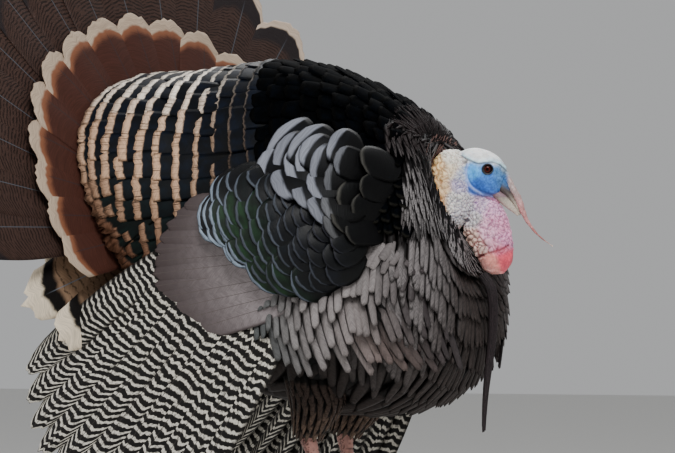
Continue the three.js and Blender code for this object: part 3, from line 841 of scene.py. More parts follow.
def cells(points: Array, size: float, seed: int) -> tuple[Array, Array]:
    """Warts packed over a surface.

    Args:
        points: the surface's points.
        size: how far apart the warts are.
        seed: what their places are drawn from.

    Returns:
        For each point how far it is up its wart, from 0 in the crease to 1, and the wart's own number.
    """
    rng = np.random.default_rng(seed)
    order = rng.permutation(len(points))
    boxes = np.floor(points[order] / (size * 0.9)).astype(int)
    _, first = np.unique(boxes, axis=0, return_index=True)
    centres = points[order[first]]
    tree = KDTree(len(centres))
    for index, centre in enumerate(centres):
        tree.insert(centre, index)
    tree.balance()
    near = np.array([[(found[2], found[1]) for found in tree.find_n(point, 2)] for point in points])
    rise = np.clip((near[:, 1, 0] - near[:, 0, 0]) / (size * 0.55), 0, 1)
    return rise, rng.random(len(centres))[near[:, 0, 1].astype(int)]


def line_distance(line: tuple[tuple[float, float], ...], x: Array, z: Array) -> Array:
    """How far points are from a smooth line, both seen from the side."""
    knots = np.array(line, float)
    path = catmull(knots, np.linspace(0, 1, 60))
    gaps = np.hypot(x[:, None] - path[None, :, 0], z[:, None] - path[None, :, 1])
    return gaps.min(1)


def mound(middle: tuple[float, float, float], half: tuple[float, float, float], tilt: float) -> tuple[Array, Array]:
    """A closed rounded mass, tilted in the view from the side."""
    tall = np.linspace(0, np.pi, 22)[1:-1, None]
    angle = np.linspace(0, 2 * np.pi, 32, endpoint=False)[None, :]
    x, y, z = np.cos(tall) + 0 * angle, np.sin(tall) * np.cos(angle), np.sin(tall) * np.sin(angle)
    lean = math.radians(tilt)
    own = np.stack([x, y, z], -1) * np.array(half)
    rings = np.stack([own[..., 0] * math.cos(lean) + own[..., 2] * math.sin(lean), own[..., 1],
                      own[..., 2] * math.cos(lean) - own[..., 0] * math.sin(lean)], -1) + np.array(middle)
    tip = np.array([half[0] * math.cos(lean), 0.0, -half[0] * math.sin(lean)])
    return capped(rings, np.array(middle) + tip, np.array(middle) - tip)


@dataclass(frozen=True)
class Leg:
    """One leg, with its foot flat on the floor. All places are given for the right side."""

    side: float
    word: str
    stride: float
    hip: tuple[float, float, float] = (0, -68, 250)
    knee: tuple[float, float, float] = (4, -68, 214)
    hock: tuple[float, float, float] = (-16, -64, 170)
    ankle: tuple[float, float, float] = (22, -64, 22)
    thigh: float = 50.0
    hock_radius: float = 12.0
    shank: float = 7.4
    toe: float = 6.2
    toes: tuple[tuple[float, float], ...] = ((0, 76), (34, 52), (-36, 54), (172, 24))
    sink: float = 0.86
    claw_length: float = 17.0
    claw_radius: float = 3.4
    spur_height: float = 66.0
    spur_length: float = 27.0
    spur_radius: float = 5.0

    def carry(self, points: Array) -> Array:
        """Points given for the right leg, on this one."""
        points = np.array(points, float)
        stepped = points[..., 0] + self.stride * (1 - smooth(60, 250, points[..., 2]))
        return np.stack([stepped, points[..., 1] * -self.side, points[..., 2]], -1)

    def thigh_form(self) -> tuple[Array, Array]:
        """The fleshy upper leg, under its feathers."""
        path = self.carry(np.array([self.hip, self.knee, self.hock]))
        return tube(path, 24, 20, self.thigh_radius, 0.82, 0.95)

    def thigh_radius(self, share: Array) -> Array:
        """The radius of the thigh under its feathers."""
        return self.thigh + (self.hock_radius - self.thigh) * share**1.2 - 6.0 * (1 - share)

    def shank_path(self) -> Array:
        """The line of the shank from the hock to the ankle."""
        ends = np.array([self.hock, self.ankle])
        return self.carry(np.stack([ends[0], ends.mean(0), ends[1]]))

    def toe_path(self, angle: float, length: float) -> Array:
        """The line of a toe from the ankle down to the floor and along it."""
        turn = math.radians(angle) * -self.side
        ankle = self.carry(np.array(self.ankle))
        share = np.array([0, 0.16, 0.32, 0.5, 0.75, 1])
        rise = self.ankle[2] * (1 - smooth(0, 0.34, share)) ** 1.5
        height = np.maximum(rise, self.sink * self.toe * (1 - 0.38 * share))
        reach = share * length
        return np.stack([ankle[0] + reach * math.cos(turn), ankle[1] + reach * math.sin(turn), height], -1)

    def toe_radius(self, share: Array) -> Array:
        """The radius of a toe, thicker over its pads."""
        return self.toe * (1 - 0.38 * share) * (1 + 0.1 * np.cos(6 * np.pi * share))

    def shank_radius(self, share: Array) -> Array:
        """The radius of the shank, thicker at its joints."""
        joint = np.exp(-((share / 0.12) ** 2)) + 0.6 * np.exp(-(((1 - share) / 0.14) ** 2))
        return self.shank + 3.0 * joint

    def bare_forms(self) -> list[tuple[Array, Array]]:
        """The shank and the four toes."""
        forms = [tube(self.shank_path(), 24, 40, self.shank_radius, 0.86, 1.0)]
        for angle, length in self.toes:
            points, faces = tube(self.toe_path(angle, length), 20, 40, self.toe_radius, 1.06, 1.0)
            points[:, 2] = np.maximum(points[:, 2], 0.0)
            forms.append((points, faces))
        return forms

    def scale_rows(self) -> list[tuple[Array, float, Array]]:
        """Where the broad scales lie: along which lines, how long each is, and on which side."""
        rows = [(self.shank_path(), 6.4, X_AXIS)]
        return rows + [(self.toe_path(angle, length), 4.3, Z_AXIS) for angle, length in self.toes]

    def horn(self) -> bpy.types.Material:
        """Dark horn, paler towards the point."""
        mix = Recipe("leg_horn_" + self.word)
        grain = mix.noise(mix.own_place(), 600.0, 3.0)
        tone = mix.step(grain, 0.3, 0.7, 0.75, 1.15)
        colour = mix.mix(1.0, mix.attribute("hue").outputs[0], mix.vector(tone, tone, tone), "MULTIPLY")
        mix.bump(grain, 0.0002)
        return mix.finish(Base_Color=colour, Roughness=0.35)

    def horn_piece(self, name: str, node: str, path: Array, radius: float, taper: float,
                   finish: bpy.types.Material) -> bpy.types.Object:
        """A claw or spur along a path.

        Args:
            name: the object's name.
            node: the name of the part it takes the place of.
            path: the points it follows.
            radius: its radius at the root.
            taper: how much of the radius is lost at the point, as a share.
            finish: its material.

        Returns:
            The object.
        """
        points, faces = tube(path, 14, 18, lambda share: radius * (1 - taper * share), 0.85, 1.0)
        points[:, 2] = np.maximum(points[:, 2], 0.0)
        made = piece(name, points, Faces(faces.ravel(), np.full(len(faces), 3)), [finish])
        away = np.linalg.norm(points - path[0], axis=1) / np.linalg.norm(path[-1] - path[0])
        set_colour(made, "hue", mixed(dye("2a211c"), dye("6b5a4a"), smooth(0.3, 1.0, away)))
        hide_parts(node)
        return made

    def thigh_feathers(self) -> Feathers:
        """Short brown feathers down the thigh."""
        rng = np.random.default_rng(81)
        path = self.carry(np.array([self.hip, self.knee, self.hock]))
        shares, angles = [], []
        for number, share in enumerate(np.linspace(0.3, 1.08, 13)):
            count = int(30 - 14 * share)
            angles.append((np.arange(count) + 0.5 * (number % 2) + rng.normal(0, 0.1, count)) / count * 2 * np.pi)
            shares.append(np.full(count, share))
        share, angle = np.concatenate(shares), np.concatenate(angles)
        tip, out = self.around_thigh(path, share, angle, 5.5)
        root, _ = self.around_thigh(path, share - 0.36, angle, -1.0)
        count = len(share)
        tint = mixed(dye("3b302b"), dye("6e5b4e"), rng.random(count) * smooth(0.5, 1.0, share))
        base = np.broadcast_to(dye("0c0a09"), (count, 3))
        cell = np.stack([0.3 + 0.4 * angle / (2 * np.pi), 0.2 + 0.6 * np.clip(share, 0, 1)], -1)
        band = np.tile([0.55, 0.97], (count, 1))
        return Feathers(root, tip, out, 15.0 - 7.0 * np.clip(share, 0, 1), base, base, tint, band, cell)

    def around_thigh(self, path: Array, share: Array, angle: Array, out: float) -> tuple[Array, Array]:
        """Points around the thigh and their outward directions."""
        middle = catmull(path, np.clip(share, 0, 1))
        along = unit(path[-1] - path[0])
        middle = middle + along * (np.maximum(share - 1, 0) * 60 + np.minimum(share, 0) * 60)[:, None]
        ahead = unit(np.cross(np.array([0.0, 1.0, 0.0]), along))
        side = np.cross(along, ahead)
        way = np.cos(angle)[:, None] * side + np.sin(angle)[:, None] * ahead
        radius = self.thigh_radius(np.clip(share, 0, 1)) + out
        return middle + way * radius[:, None], way

    def build(self) -> list[bpy.types.Object]:
        """Makes the claws, the spur and the thigh's feathers."""
        finish = self.horn()
        made = []
        for number, (angle, length) in enumerate(self.toes, 1):
            turn = math.radians(angle) * -self.side
            end = self.toe_path(angle, length)[-1]
            reach = np.array([-3.0, self.claw_length * 0.4, self.claw_length * 0.75, self.claw_length])
            drop = np.array([-0.4, 0.8, -0.8, -3.6]) * np.array([-1.0, 1.0, 1.0, 1.0])
            path = end + np.stack([reach * math.cos(turn), reach * math.sin(turn), -np.abs(drop)], -1)
            path[:, 2] = np.maximum(end[2] + np.array([0.4, 0.8, -0.8, -3.6]), 0.6)
            made.append(self.horn_piece("claw_horn_%s_%d" % (self.word, number), "claw_%s_%d" % (self.word, number),
                                        path, self.claw_radius, 0.8, finish))
        share = (self.spur_height - self.ankle[2]) / (self.hock[2] - self.ankle[2])
        root = np.array(self.ankle) + (np.array(self.hock) - np.array(self.ankle)) * share
        back = np.array([0.0, 0.5, 1.0]) * self.spur_length
        path = np.stack([root[0] - back, root[1] + back * 0.35, root[2] + np.array([0.0, 1.0, 7.0])], -1)
        made.append(self.horn_piece("spur_horn_" + self.word, "spur_" + self.word, self.carry(path),
                                    self.spur_radius, 0.85, finish))
        plain = VaneFinish(roughness=0.6, streaks=0.5, soft=0.2, rim=0.7, gloss=0.12).build("thigh_" + self.word)
        shape = VaneShape(across=4, along=6, cup=0.5, root=0.6, corner=0.25, squareness=2, taper=0.3, fray=0.05)
        made.append(self.thigh_feathers().mesh("thigh_feathers_" + self.word, shape, plain, 82))
        return made


LEGS = (Leg(-1.0, "right", 14.0), Leg(1.0, "left", -12.0))


@dataclass
class Skin:
    """One skin over the whole body: smooth under the coat, bare and warty on the head and neck."""

    trunk: Trunk = field(default_factory=Trunk)
    depth: float = 17.0
    body_voxel: float = 7.0
    head_voxel: float = 1.05
    leg_voxel: float = 1.7

    def body_forms(self) -> list[tuple[Array, Array]]:
        """The trunk, tail root, wings and thighs under their coat."""
        station = np.linspace(0.3, 7.75, 40)[:, None]
        angle = np.linspace(0, 2 * np.pi, 48, endpoint=False)[None, :]
        at, turn = station + 0 * angle, angle + 0 * station
        _, _, normal = self.trunk.slopes(at, turn)
        rings = self.trunk.point(at, turn) - normal * self.depth
        forms = [capped(rings, rings[0].mean(0), rings[-1].mean(0)), mound((-156, 0, 440), (44, 68, 88), -20)]
        for side, ahead, lower in ((-1.0, 0.0, 0.0), (1.0, 38.0, 14.0)):
            forms.append(mound((2 + ahead, side * 158, 412 - lower), (92, 24, 60), 20))
            forms.append(mound((46, side * 132, 474), (66, 24, 54), 26))
        return forms + [leg.thigh_form() for leg in LEGS]

    def legs(self) -> bpy.types.Object:
        """The scaly shanks and feet."""
        made = grown_together("leg_skin", [form for leg in LEGS for form in leg.bare_forms()], self.leg_voxel, 2)
        points, normals = points_of(made)
        small, number = cells(points, 3.4, 8)
        plate = np.zeros(len(points))
        ahead = np.zeros(len(points))
        nearest = np.full(len(points), 1e9)
        for leg in LEGS:
            for path, gap, front in leg.scale_rows():
                knots = catmull(path, np.linspace(0, 1, 80))
                run = np.concatenate([[0], np.cumsum(np.linalg.norm(np.diff(knots, axis=0), axis=1))])
                gaps = np.linalg.norm(points[:, None] - knots[None], axis=2)
                index, gaps = gaps.argmin(1), gaps.min(1)
                closer = gaps < nearest
                nearest = np.where(closer, gaps, nearest)
                along = run[index] + ((points - knots[index]) * unit(knots[-1] - knots[0])).sum(1) * 0.5
                plate = np.where(closer, np.abs(np.sin(np.pi * along / gap)), plate)
                ahead = np.where(closer, smooth(0.1, 0.5, (normals * front).sum(1)), ahead)
        rise = small * (1 - ahead) + np.minimum(plate * 2.2, 1) * ahead
        moved = points + normals * (rise * 0.9 - 0.6)[:, None]
        moved[:, 2] = np.maximum(moved[:, 2], 0.0)
        colour = mixed(dye("5a3631"), dye("b5857a"), smooth(0.05, 0.5, rise)) * (0.88 + 0.2 * number)[:, None]
        made.data.vertices.foreach_set("co", Place.metres(moved).astype(np.float32).ravel())
        set_colour(made, "hue", colour)
        return made

    def head(self) -> bpy.types.Object:
        """The bare head, neck, wattle and snood, with their folds, warts and colours."""
        forms = [
            loft_form(HEAD.skull, 40, 40),
            loft_form(HEAD.neck, 40, 40),
            loft_form(HEAD.wattle, 36, 40),
            HEAD.snood(16, 80),
        ]
        forms = [(HEAD.on_head(points), faces) for points, faces in forms]
        made = grown_together("head_skin", forms, self.head_voxel, 4)
        points, normals = points_of(made)
        own = HEAD.from_bird(points)
        x, y, z = own[:, 0], own[:, 1], own[:, 2]
        gaps = [np.hypot(x - p.x, z - p.z) / (0.62 * p.reach) for p in HEAD.patches]
        weights = np.exp(-(np.stack(gaps, 1) ** 1.6)) + 1e-9
        weights /= weights.sum(1, keepdims=True)
        top = weights @ np.array([dye(p.top) for p in HEAD.patches])
        crease_shade = weights @ np.array([dye(p.crease_shade) for p in HEAD.patches])
        height = weights @ np.array([p.height for p in HEAD.patches])
        wart = weights @ np.array([p.wart for p in HEAD.patches])
        bent = points + 1.5 * np.sin(points[:, [2, 0, 1]] * 0.42) + 0.8 * np.sin(points[:, [1, 2, 0]] * 0.9)
        fine, fine_number = cells(bent, 6.4, 5)
        broad, broad_number = cells(bent * np.array([1.0, 1.0, 0.72]), 8.8, 6)
        share = smooth(4.8, 5.8, wart)
        rise = fine * (1 - share) + broad * share
        number = np.where(share > 0.5, broad_number, fine_number)
        path = catmull(np.array(HEAD.snood_path, float), np.linspace(0, 1, 60))
        on_snood = smooth(7.5, 5.0, np.linalg.norm(own[:, None] - path[None], axis=2).min(1)) * smooth(20, 27, x)
        height = height * (1 - on_snood) + 0.25 * on_snood
        brow, ridge = line_distance(HEAD.brow, x, z), line_distance(HEAD.ridge, x, z)
        jaw, lobe = line_distance(HEAD.jaw, x, z), line_distance(HEAD.lobe, x, z)
        above = z - np.interp(x, [p[0] for p in HEAD.brow], [p[1] for p in HEAD.brow])
        crown = smooth(-0.4, 0.8, above) * smooth(-36, -28, x) * smooth(24, 20, x)
        out = np.hypot(x, z)
        lid = np.exp(-(((out - 6.6) / 1.2) ** 2)) * (np.abs(y) > 8)
        ear = np.exp(-(((x + 27) ** 2 + (z - 9) ** 2) / 7.0))
        line = lambda distance, half: np.exp(-((distance / half) ** 2))
        lift = height * (np.sqrt(np.maximum(rise, 0)) * 1.7 - 0.85)
        lift = lift + (0.2 + 0.9 * line(brow, 5.0)) * crown * (1 - on_snood) - 0.9 * line(brow, 1.1) + 1.5 * line(ridge, 1.9)
        lift = lift + 0.8 * lid - 1.8 * ear - 1.0 * line(jaw, 1.5) - 2.2 * line(lobe, 1.8)
        moved = points + normals * (lift * smooth(-120, -100, x))[:, None]
        # Painted shade: the creases between the warts take the darker crease colour, in the skin's own hue, and the
        # tops of the warts take the lighter one.
        crease_shade = mixed(crease_shade, top, np.full(len(top), 0.2))
        colour = mixed(crease_shade, top, smooth(0.04, 0.34, rise))
        colour = colour * (0.86 + 0.26 * number)[:, None]
        white = mixed(dye("ffffff"), dye("cdeefd"), line(brow, 4.0))
        colour = mixed(colour, white, crown * 0.92 * (1 - on_snood))
        # Painted shade: a dark blue line in the groove just under the white cap.
        colour = mixed(colour, dye("0d2238"), line(brow, 1.4) * 0.85 * smooth(1.2, -0.2, above))
        colour = mixed(colour, dye("9fb4f2"), line(ridge, 1.5) * 0.85)
        # Painted shadow: a dark blue line beside the raised ridge, on its lower part.
        colour = mixed(colour, dye("15306e"), line(ridge - 3.2, 1.1) * 0.6 * smooth(-3, -9, z) * (x > -24))
        colour = mixed(colour, dye("b0607e"), line(jaw, 1.5) * 0.7)
        colour = mixed(colour, dye("8c2c34"), line(lobe, 1.3) * 0.8)
        colour = mixed(colour, dye("2a2230"), ear * 0.85)
        colour = mixed(colour, dye("0a0d14"), smooth(7.7, 6.7, out) * (np.abs(y) > 9))
        pink = mixed(dye("a7b4bd"), dye("bfa9a6"), smooth(4, -14, z))
        pink = mixed(pink, dye("c98e8c"), smooth(-20, -52, z))
        pink = mixed(pink, dye("ba7673"), smooth(-66, -74, z))
        pink = mixed(pink, dye("d8bcae"), smooth(-84, -92, z))
        # Painted shade: the snood's pink is darker in the creases between its warts and lighter on their tops.
        colour = mixed(colour, pink * (0.8 + 0.35 * rise)[:, None], on_snood)
        made.data.vertices.foreach_set("co", Place.metres(moved).astype(np.float32).ravel())
        set_colour(made, "hue", colour)
        return made

    def build(self) -> bpy.types.Object:
        """Makes the skin as one object of three finishes."""
        body = grown_together("skin", self.body_forms(), self.body_voxel, 0)
        head, legs = self.head(), self.legs()
        points, _ = points_of(body)
        set_colour(body, "hue", np.broadcast_to(dye("14100f"), (len(points), 3)))
        finishes = (skin_finish("body_skin", 0.6), skin_finish("bare_skin", 0.45), skin_finish("leg_skin", 0.5))
        for made, finish in zip((body, head, legs), finishes):
            made.data.materials.clear()
            made.data.materials.append(finish)
            made.data.polygons.foreach_set("use_smooth", np.ones(len(made.data.polygons), bool))
        bpy.ops.object.select_all(action="DESELECT")
        for made in (head, legs, body):
            made.select_set(True)
        bpy.context.view_layer.objects.active = body
        bpy.ops.object.join()
        return body


def skin_finish(name: str, roughness: float) -> bpy.types.Material:
    """Skin in the colours that the mesh carries, with fine pores."""
    mix = Recipe(name)
    place = mix.own_place()
    pores = mix.noise(place, 900.0, 3.0, 0.6)
    stain = mix.step(mix.noise(place, 160.0, 3.0, 0.6), 0.3, 0.7, 0.82, 1.15)
    colour = mix.mix(1.0, mix.attribute("hue").outputs[0], mix.vector(stain, stain, stain), "MULTIPLY")
    mix.bump(pores, 0.00025)
    return mix.finish(
        Base_Color=colour,
        Roughness=roughness,
        Subsurface_Weight=0.12,
        Subsurface_Radius=(0.004, 0.0015, 0.001),
        Subsurface_Scale=0.6,
        Specular_IOR_Level=0.4,
    )


@dataclass(frozen=True)
class Eyes:
    """The two eyeballs: a red-brown iris, a black pupil and a wet surface."""

    around: int = 32
    rows: int = 18

    def build(self) -> list[bpy.types.Object]:
        """Makes both eyes, each in the place of its node."""
        mix = Recipe("eye")
        out = mix.attribute("hue").outputs[0]
        finish = mix.finish(Base_Color=out, Roughness=0.08, Specular_IOR_Level=0.08)
        made = []
        for word, side in (("right", -1.0), ("left", 1.0)):
            tilt = np.linspace(0, np.pi, self.rows + 2)[1:-1, None]
            angle = np.linspace(0, 2 * np.pi, self.around, endpoint=False)[None, :]
            ring = HEAD.eye_radius * np.sin(tilt)
            axis = HEAD.eye_radius * np.cos(tilt)
            rings = np.stack([ring * np.cos(angle), side * (HEAD.eye_out + axis) + 0 * angle, ring * np.sin(angle)], -1)
            ends = (np.array([0.0, side * (HEAD.eye_out + s * HEAD.eye_radius), 0.0]) for s in (1, -1))
            points, faces = capped(rings, *ends)
            own = np.hypot(points[:, 0], points[:, 2])
            front = points[:, 1] * side > HEAD.eye_out
            colour = mixed(dye("040303"), dye("4e1a12"), smooth(1.8, 2.3, own))
            colour = mixed(colour, dye("070405"), smooth(3.4, 4.2, own))
            colour = np.where(front[:, None], colour, dye("0a0606"))
            eye = piece("eyeball_" + word, HEAD.on_head(points), Faces(faces.ravel(), np.full(len(faces), 3)), [finish])
            set_colour(eye, "hue", colour)
            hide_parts("eye_" + word)
            made.append(eye)
        return made


@dataclass(frozen=True)
class Bill:
    """The two halves of the horny bill."""

    around: int = 36
    rows: int = 40

    def build(self) -> list[bpy.types.Object]:
        """Makes both halves, greyer and darker at the root and pale at the tip."""
        mix = Recipe("bill_horn")
        grain = mix.noise(mix.own_place(), 500.0, 3.0)
        tone = mix.step(grain, 0.3, 0.7, 0.8, 1.15)
        colour = mix.mix(1.0, mix.attribute("hue").outputs[0], mix.vector(tone, tone, tone), "MULTIPLY")
        mix.bump(grain, 0.0002)
        finish = mix.finish(Base_Color=colour, Roughness=0.38)
        made = []
        for word, loft in (("upper", HEAD.upper_bill), ("lower", HEAD.lower_bill)):
            points, faces = loft_form(loft, self.around, self.rows)
            half = piece("bill_" + word + "_horn", HEAD.on_head(points), Faces(faces.ravel(), np.full(len(faces), 3)), [finish])
            along = smooth(-26, -46, points[:, 2])
            colour = mixed(dye("4d4442"), dye("b3a899"), along)
            if word == "upper":
                colour = mixed(dye("3f74ae"), colour, smooth(-13, -24, points[:, 2] + 0.5 * (points[:, 0] - 18)))
            else:
                colour = mixed(dye("8a7078"), mixed(colour, dye("cbbfb0"), along * 0.7), smooth(-31, -36, points[:, 2]))
            set_colour(half, "hue", colour)
            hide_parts("bill_" + word)
            made.append(half)
        return made


# ---- The trunk's coat ---------------------------------------------------------------------------


@dataclass
class Look:
    """What the feathers of one place on the coat are like; each field has a row for each feather."""

    length: Array
    width: Array
    sink: Array
    droop: Array
    base: Array
    gloss: Array
    tint: Array
    band: Array


@dataclass
class TrunkCoat:
    """The feathers of the trunk, in overlapping rows that lie from the neck to the tail."""

    trunk: Trunk = field(default_factory=Trunk)
    rows_to_rim: float = 0.0

    def rows(self, first: float, last: float, step: float, look: Callable[[Array, Array], Look], seed: int,
             stray: float = 0.13, widen: float = 0.0) -> Feathers:
        """Feathers in rows whose tips stand on stations.

        Args:
            first: the station of the foremost tips.
            last: the station of the rearmost tips.
            step: how many stations apart the rows are.
            look: gives the feathers' measures and colours at stations and angles.
            seed: what the small irregularities are drawn from.
            stray: how far tips stray from their row, as a share of step.
            widen: how much wider the rows get for each station forwards, as a share of step.

        Returns:
            The feathers.
        """
        rng = np.random.default_rng(seed)
        stations, angles, places = [], [], [last]
        while places[-1] > first:
            places.append(places[-1] - step * (1 + widen * (last - places[-1])))
        for number, station in enumerate(places[:-1]):
            ring = np.linspace(-np.pi, np.pi, 721)
            at = np.full_like(ring, station)
            gaps = np.linalg.norm(np.diff(self.trunk.point(at, ring), axis=0), axis=1)
            widths = look(at, ring).width[:-1]
            needed = np.concatenate([[0], np.cumsum(gaps / (0.78 * widths))])
            count = max(int(needed[-1]), 6)
            order = (np.arange(count) + 0.5 * (number % 2) + rng.normal(0, 0.08, count)) * needed[-1] / count
            angles.append(np.interp(order, needed, ring))
            stations.append(np.full(count, station))
        angle, station = np.concatenate(angles), np.concatenate(stations)
        station = np.minimum(station + rng.normal(0, step * stray, len(station)), last)
        return self.feathers(station, angle, look(station, angle), rng, stray / 0.13)

    def feathers(self, station: Array, angle: Array, look: Look, rng: np.random.Generator,
                 loose: float) -> Feathers:
        """Feathers with their tips at given places of the coat.

        Args:
            station: the tips' stations.
            angle: the tips' angles.
            look: the feathers' measures and colours.
            rng: what the small irregularities are drawn from.
            loose: how untidy the feathers are.

        Returns:
            The feathers.
        """
        backward, round_it, normal = self.trunk.slopes(station, angle)
        row = unit(round_it)
        backward = backward - row * (backward * row).sum(-1, keepdims=True)
        down = -Z_AXIS - normal * (-Z_AXIS * normal).sum(-1, keepdims=True)
        way = unit(unit(backward) * (1 - look.droop[:, None]) + unit(down) * look.droop[:, None])
        way = unit(way + rng.normal(0, 0.05, way.shape) * loose)
        length = look.length * rng.normal(1, 0.06, len(station))
        half_s, half_a = self.trunk.walk(station, angle, -way * length[:, None] / 2)
        back2, _, _ = self.trunk.slopes(half_s, half_a)
        root_s, root_a = self.trunk.walk(half_s, half_a, -way * length[:, None] / 2)
        root_s = np.clip(root_s, 0.0, self.trunk.last)
        _, _, root_up = self.trunk.slopes(root_s, root_a)
        tip = self.trunk.point(station, angle) + normal * rng.normal(-1.0, 0.8 * loose, len(station))[:, None]
        root = self.trunk.point(root_s, root_a) - root_up * look.sink[:, None]
        turn = (angle / (2 * np.pi) + 0.5) % 1.0
        cell = np.stack([0.03 + 0.94 * turn, 0.03 + 0.94 * station / 8], -1)
        return Feathers(root, tip, unit(normal + root_up), look.width * rng.normal(1, 0.05, len(station)),
                        look.base, look.gloss, look.tint, look.band, cell)

    def look(self, angle: Array, length: float, width: float, sink: float, droop: Array, base: Array,
             gloss: Array, tint: Array, band: tuple[Array, Array]) -> Look:
        """A look whose single values are spread over all the feathers."""
        count = len(angle)
        colours = (np.broadcast_to(colour, (count, 3)).copy() for colour in (base, gloss, tint))
        values = (np.broadcast_to(value, (count,)).astype(float) for value in (length, width, sink, droop))
        edges = np.stack([np.broadcast_to(edge, (count,)) for edge in band], -1)
        return Look(*values, *colours, edges)

    def rump(self, station: Array, angle: Array) -> Look:
        """Square black feathers with buff ends, cream on the back and tan down the sides."""
        down = np.degrees(np.abs(angle))
        tint = mixed(dye("fff4e4"), dye("c4a083"), smooth(22, 58, down))
        tint = mixed(tint, dye("5e4030"), smooth(66, 106, down))
        tint = mixed(tint, dye("3f3936"), smooth(6.5, 5.3, station) * 0.9)
        gloss = mixed(dye("060d1a"), dye("06140f"), smooth(60, 110, down))
        depth = 3.0 + 7.5 * smooth(5.2, 6.7, station) - 2.5 * smooth(7.3, 8.0, station)
        depth = depth * (0.7 + 0.3 * smooth(12, 40, down)) * (1 - 0.4 * smooth(75, 115, down)) / 75.0
        width = 38.0 - 8.0 * smooth(55, 105, down)
        return self.look(angle, 75.0, width, 15.0, 0.0, dye("030303"), gloss, tint, (1.0 - depth, 1.3))

    def back(self, station: Array, angle: Array) -> Look:
        """The deep black of the back."""
        down = np.degrees(np.abs(angle))
        tint = mixed(dye("050505"), dye("1b1a17"), smooth(55, 85, down) * smooth(4.4, 3.4, station))
        droop = 0.85 * smooth(35, 75, down) * smooth(4.8, 3.6, station)
        width = 34.0 - 16.0 * smooth(45, 75, down) * smooth(4.6, 3.6, station)
        return self.look(angle, 70.0, width, 12.0, droop, dye("020202"), dye("04060a"), tint, (0.9, 0.97))

    def breast(self, station: Array, angle: Array) -> Look:
        """Long grey-brown feathers with dark gaps on the breast and flanks."""
        down = np.degrees(np.abs(angle))
        tint = mixed(dye("6d6868"), dye("37302e"), smooth(115, 165, down))
        tint = mixed(tint, dye("2b2523"), smooth(3.6, 5.0, station))
        droop = 0.88 * smooth(70, 95, down) * smooth(168, 140, down) * smooth(6.5, 5.0, station)
        width = 13.0 + 12.0 * smooth(4.0, 5.5, station)
        return self.look(angle, 92.0, width, 11.0, droop, dye("050404"), dye("1c1817"), tint, (0.42, 0.955))

    def ruff(self, station: Array, angle: Array) -> Look:
        """Narrow streaky feathers of the cape and the base of the neck."""
        down = np.degrees(np.abs(angle))
        light = np.maximum(smooth(45, 90, down), 0.85 * smooth(1.3, 0.6, station) * smooth(10, 30, down))
        tint = mixed(dye("2a2323"), dye("7c7878"), light * smooth(2.6, 1.8, station))
        tint = mixed(tint, dye("676161"), smooth(130, 165, down))
        width = 5.6 + 1.8 * smooth(1.0, 2.2, station)
        droop = 0.9 * smooth(15, 55, down) * smooth(172, 150, down)
        start = 0.08 + 0.42 * smooth(0.4, 1.4, station)
        return self.look(angle, 52.0, width, 7.0, droop, dye("060505"), dye("141112"), tint, (start, 0.95))

    def collar(self) -> Feathers:
        """Small feathers that fill the ruff from the bare neck outwards."""
        rng = np.random.default_rng(15)
        points = lambda share, turn: mixed(
            HEAD.on_head(HEAD.neck.point(np.full_like(turn, 0.34), turn)) - np.array([0.0, 0.0, 0.0]),
            self.trunk.point(np.full_like(turn, 1.15), turn), share)
        share, turn = [], []
        for number, row in enumerate(np.linspace(0.36, 1.0, 9)):
            count = int(46 + 34 * row)
            turn.append((np.arange(count) + 0.5 * (number % 2)) / count * 2 * np.pi - np.pi)
            share.append(np.full(count, row))
        share, turn = np.concatenate(share), np.concatenate(turn)
        turn = turn + rng.normal(0, 0.02, len(turn))
        share = share + rng.normal(0, 0.02, len(turn))
        e = 0.05
        out = unit(np.cross(points(share, turn + e) - points(share, turn - e), points(share + e, turn) - points(share - e, turn)))
        tip = points(share, turn) + out * (5.0 * np.sin(np.pi * np.clip(share, 0, 1)))[:, None]
        below = np.degrees(np.abs(turn))
        way = unit(points(share + e, turn) - points(share - e, turn))
        fall = 0.7 * smooth(30, 70, below) * smooth(170, 150, below)
        way = unit(way * (1 - fall[:, None]) - Z_AXIS * fall[:, None] + rng.normal(0, 0.06, way.shape))
        length = 15.0 + 16.0 * share
        root = tip - way * length[:, None] - out * (3.0 + 4.0 * share)[:, None]
        look = self.ruff(share, turn)
        lit = 0.75 + 0.7 * smooth(80, 130, below)
        brown = mixed(look.tint * lit[:, None], dye("93726b"), smooth(75, 20, below) * 0.85)
        cell = np.stack([0.03 + 0.94 * ((turn / (2 * np.pi) + 0.5) % 1.0), 0.03 + 0.94 * np.clip(share, 0, 1)], -1)
        look.band[:, 0] = 0.5 * smooth(0.35, 0.6, share)
        return Feathers(root, tip, out, 5.0 + 3.0 * share, look.base, look.gloss, brown, look.band, cell)

    def fold(self, points: Array) -> Array:
        """The height of the fold between the ruff and the breast."""
        return 402.0 - 28.0 * smooth(180, 222, points[:, 0])

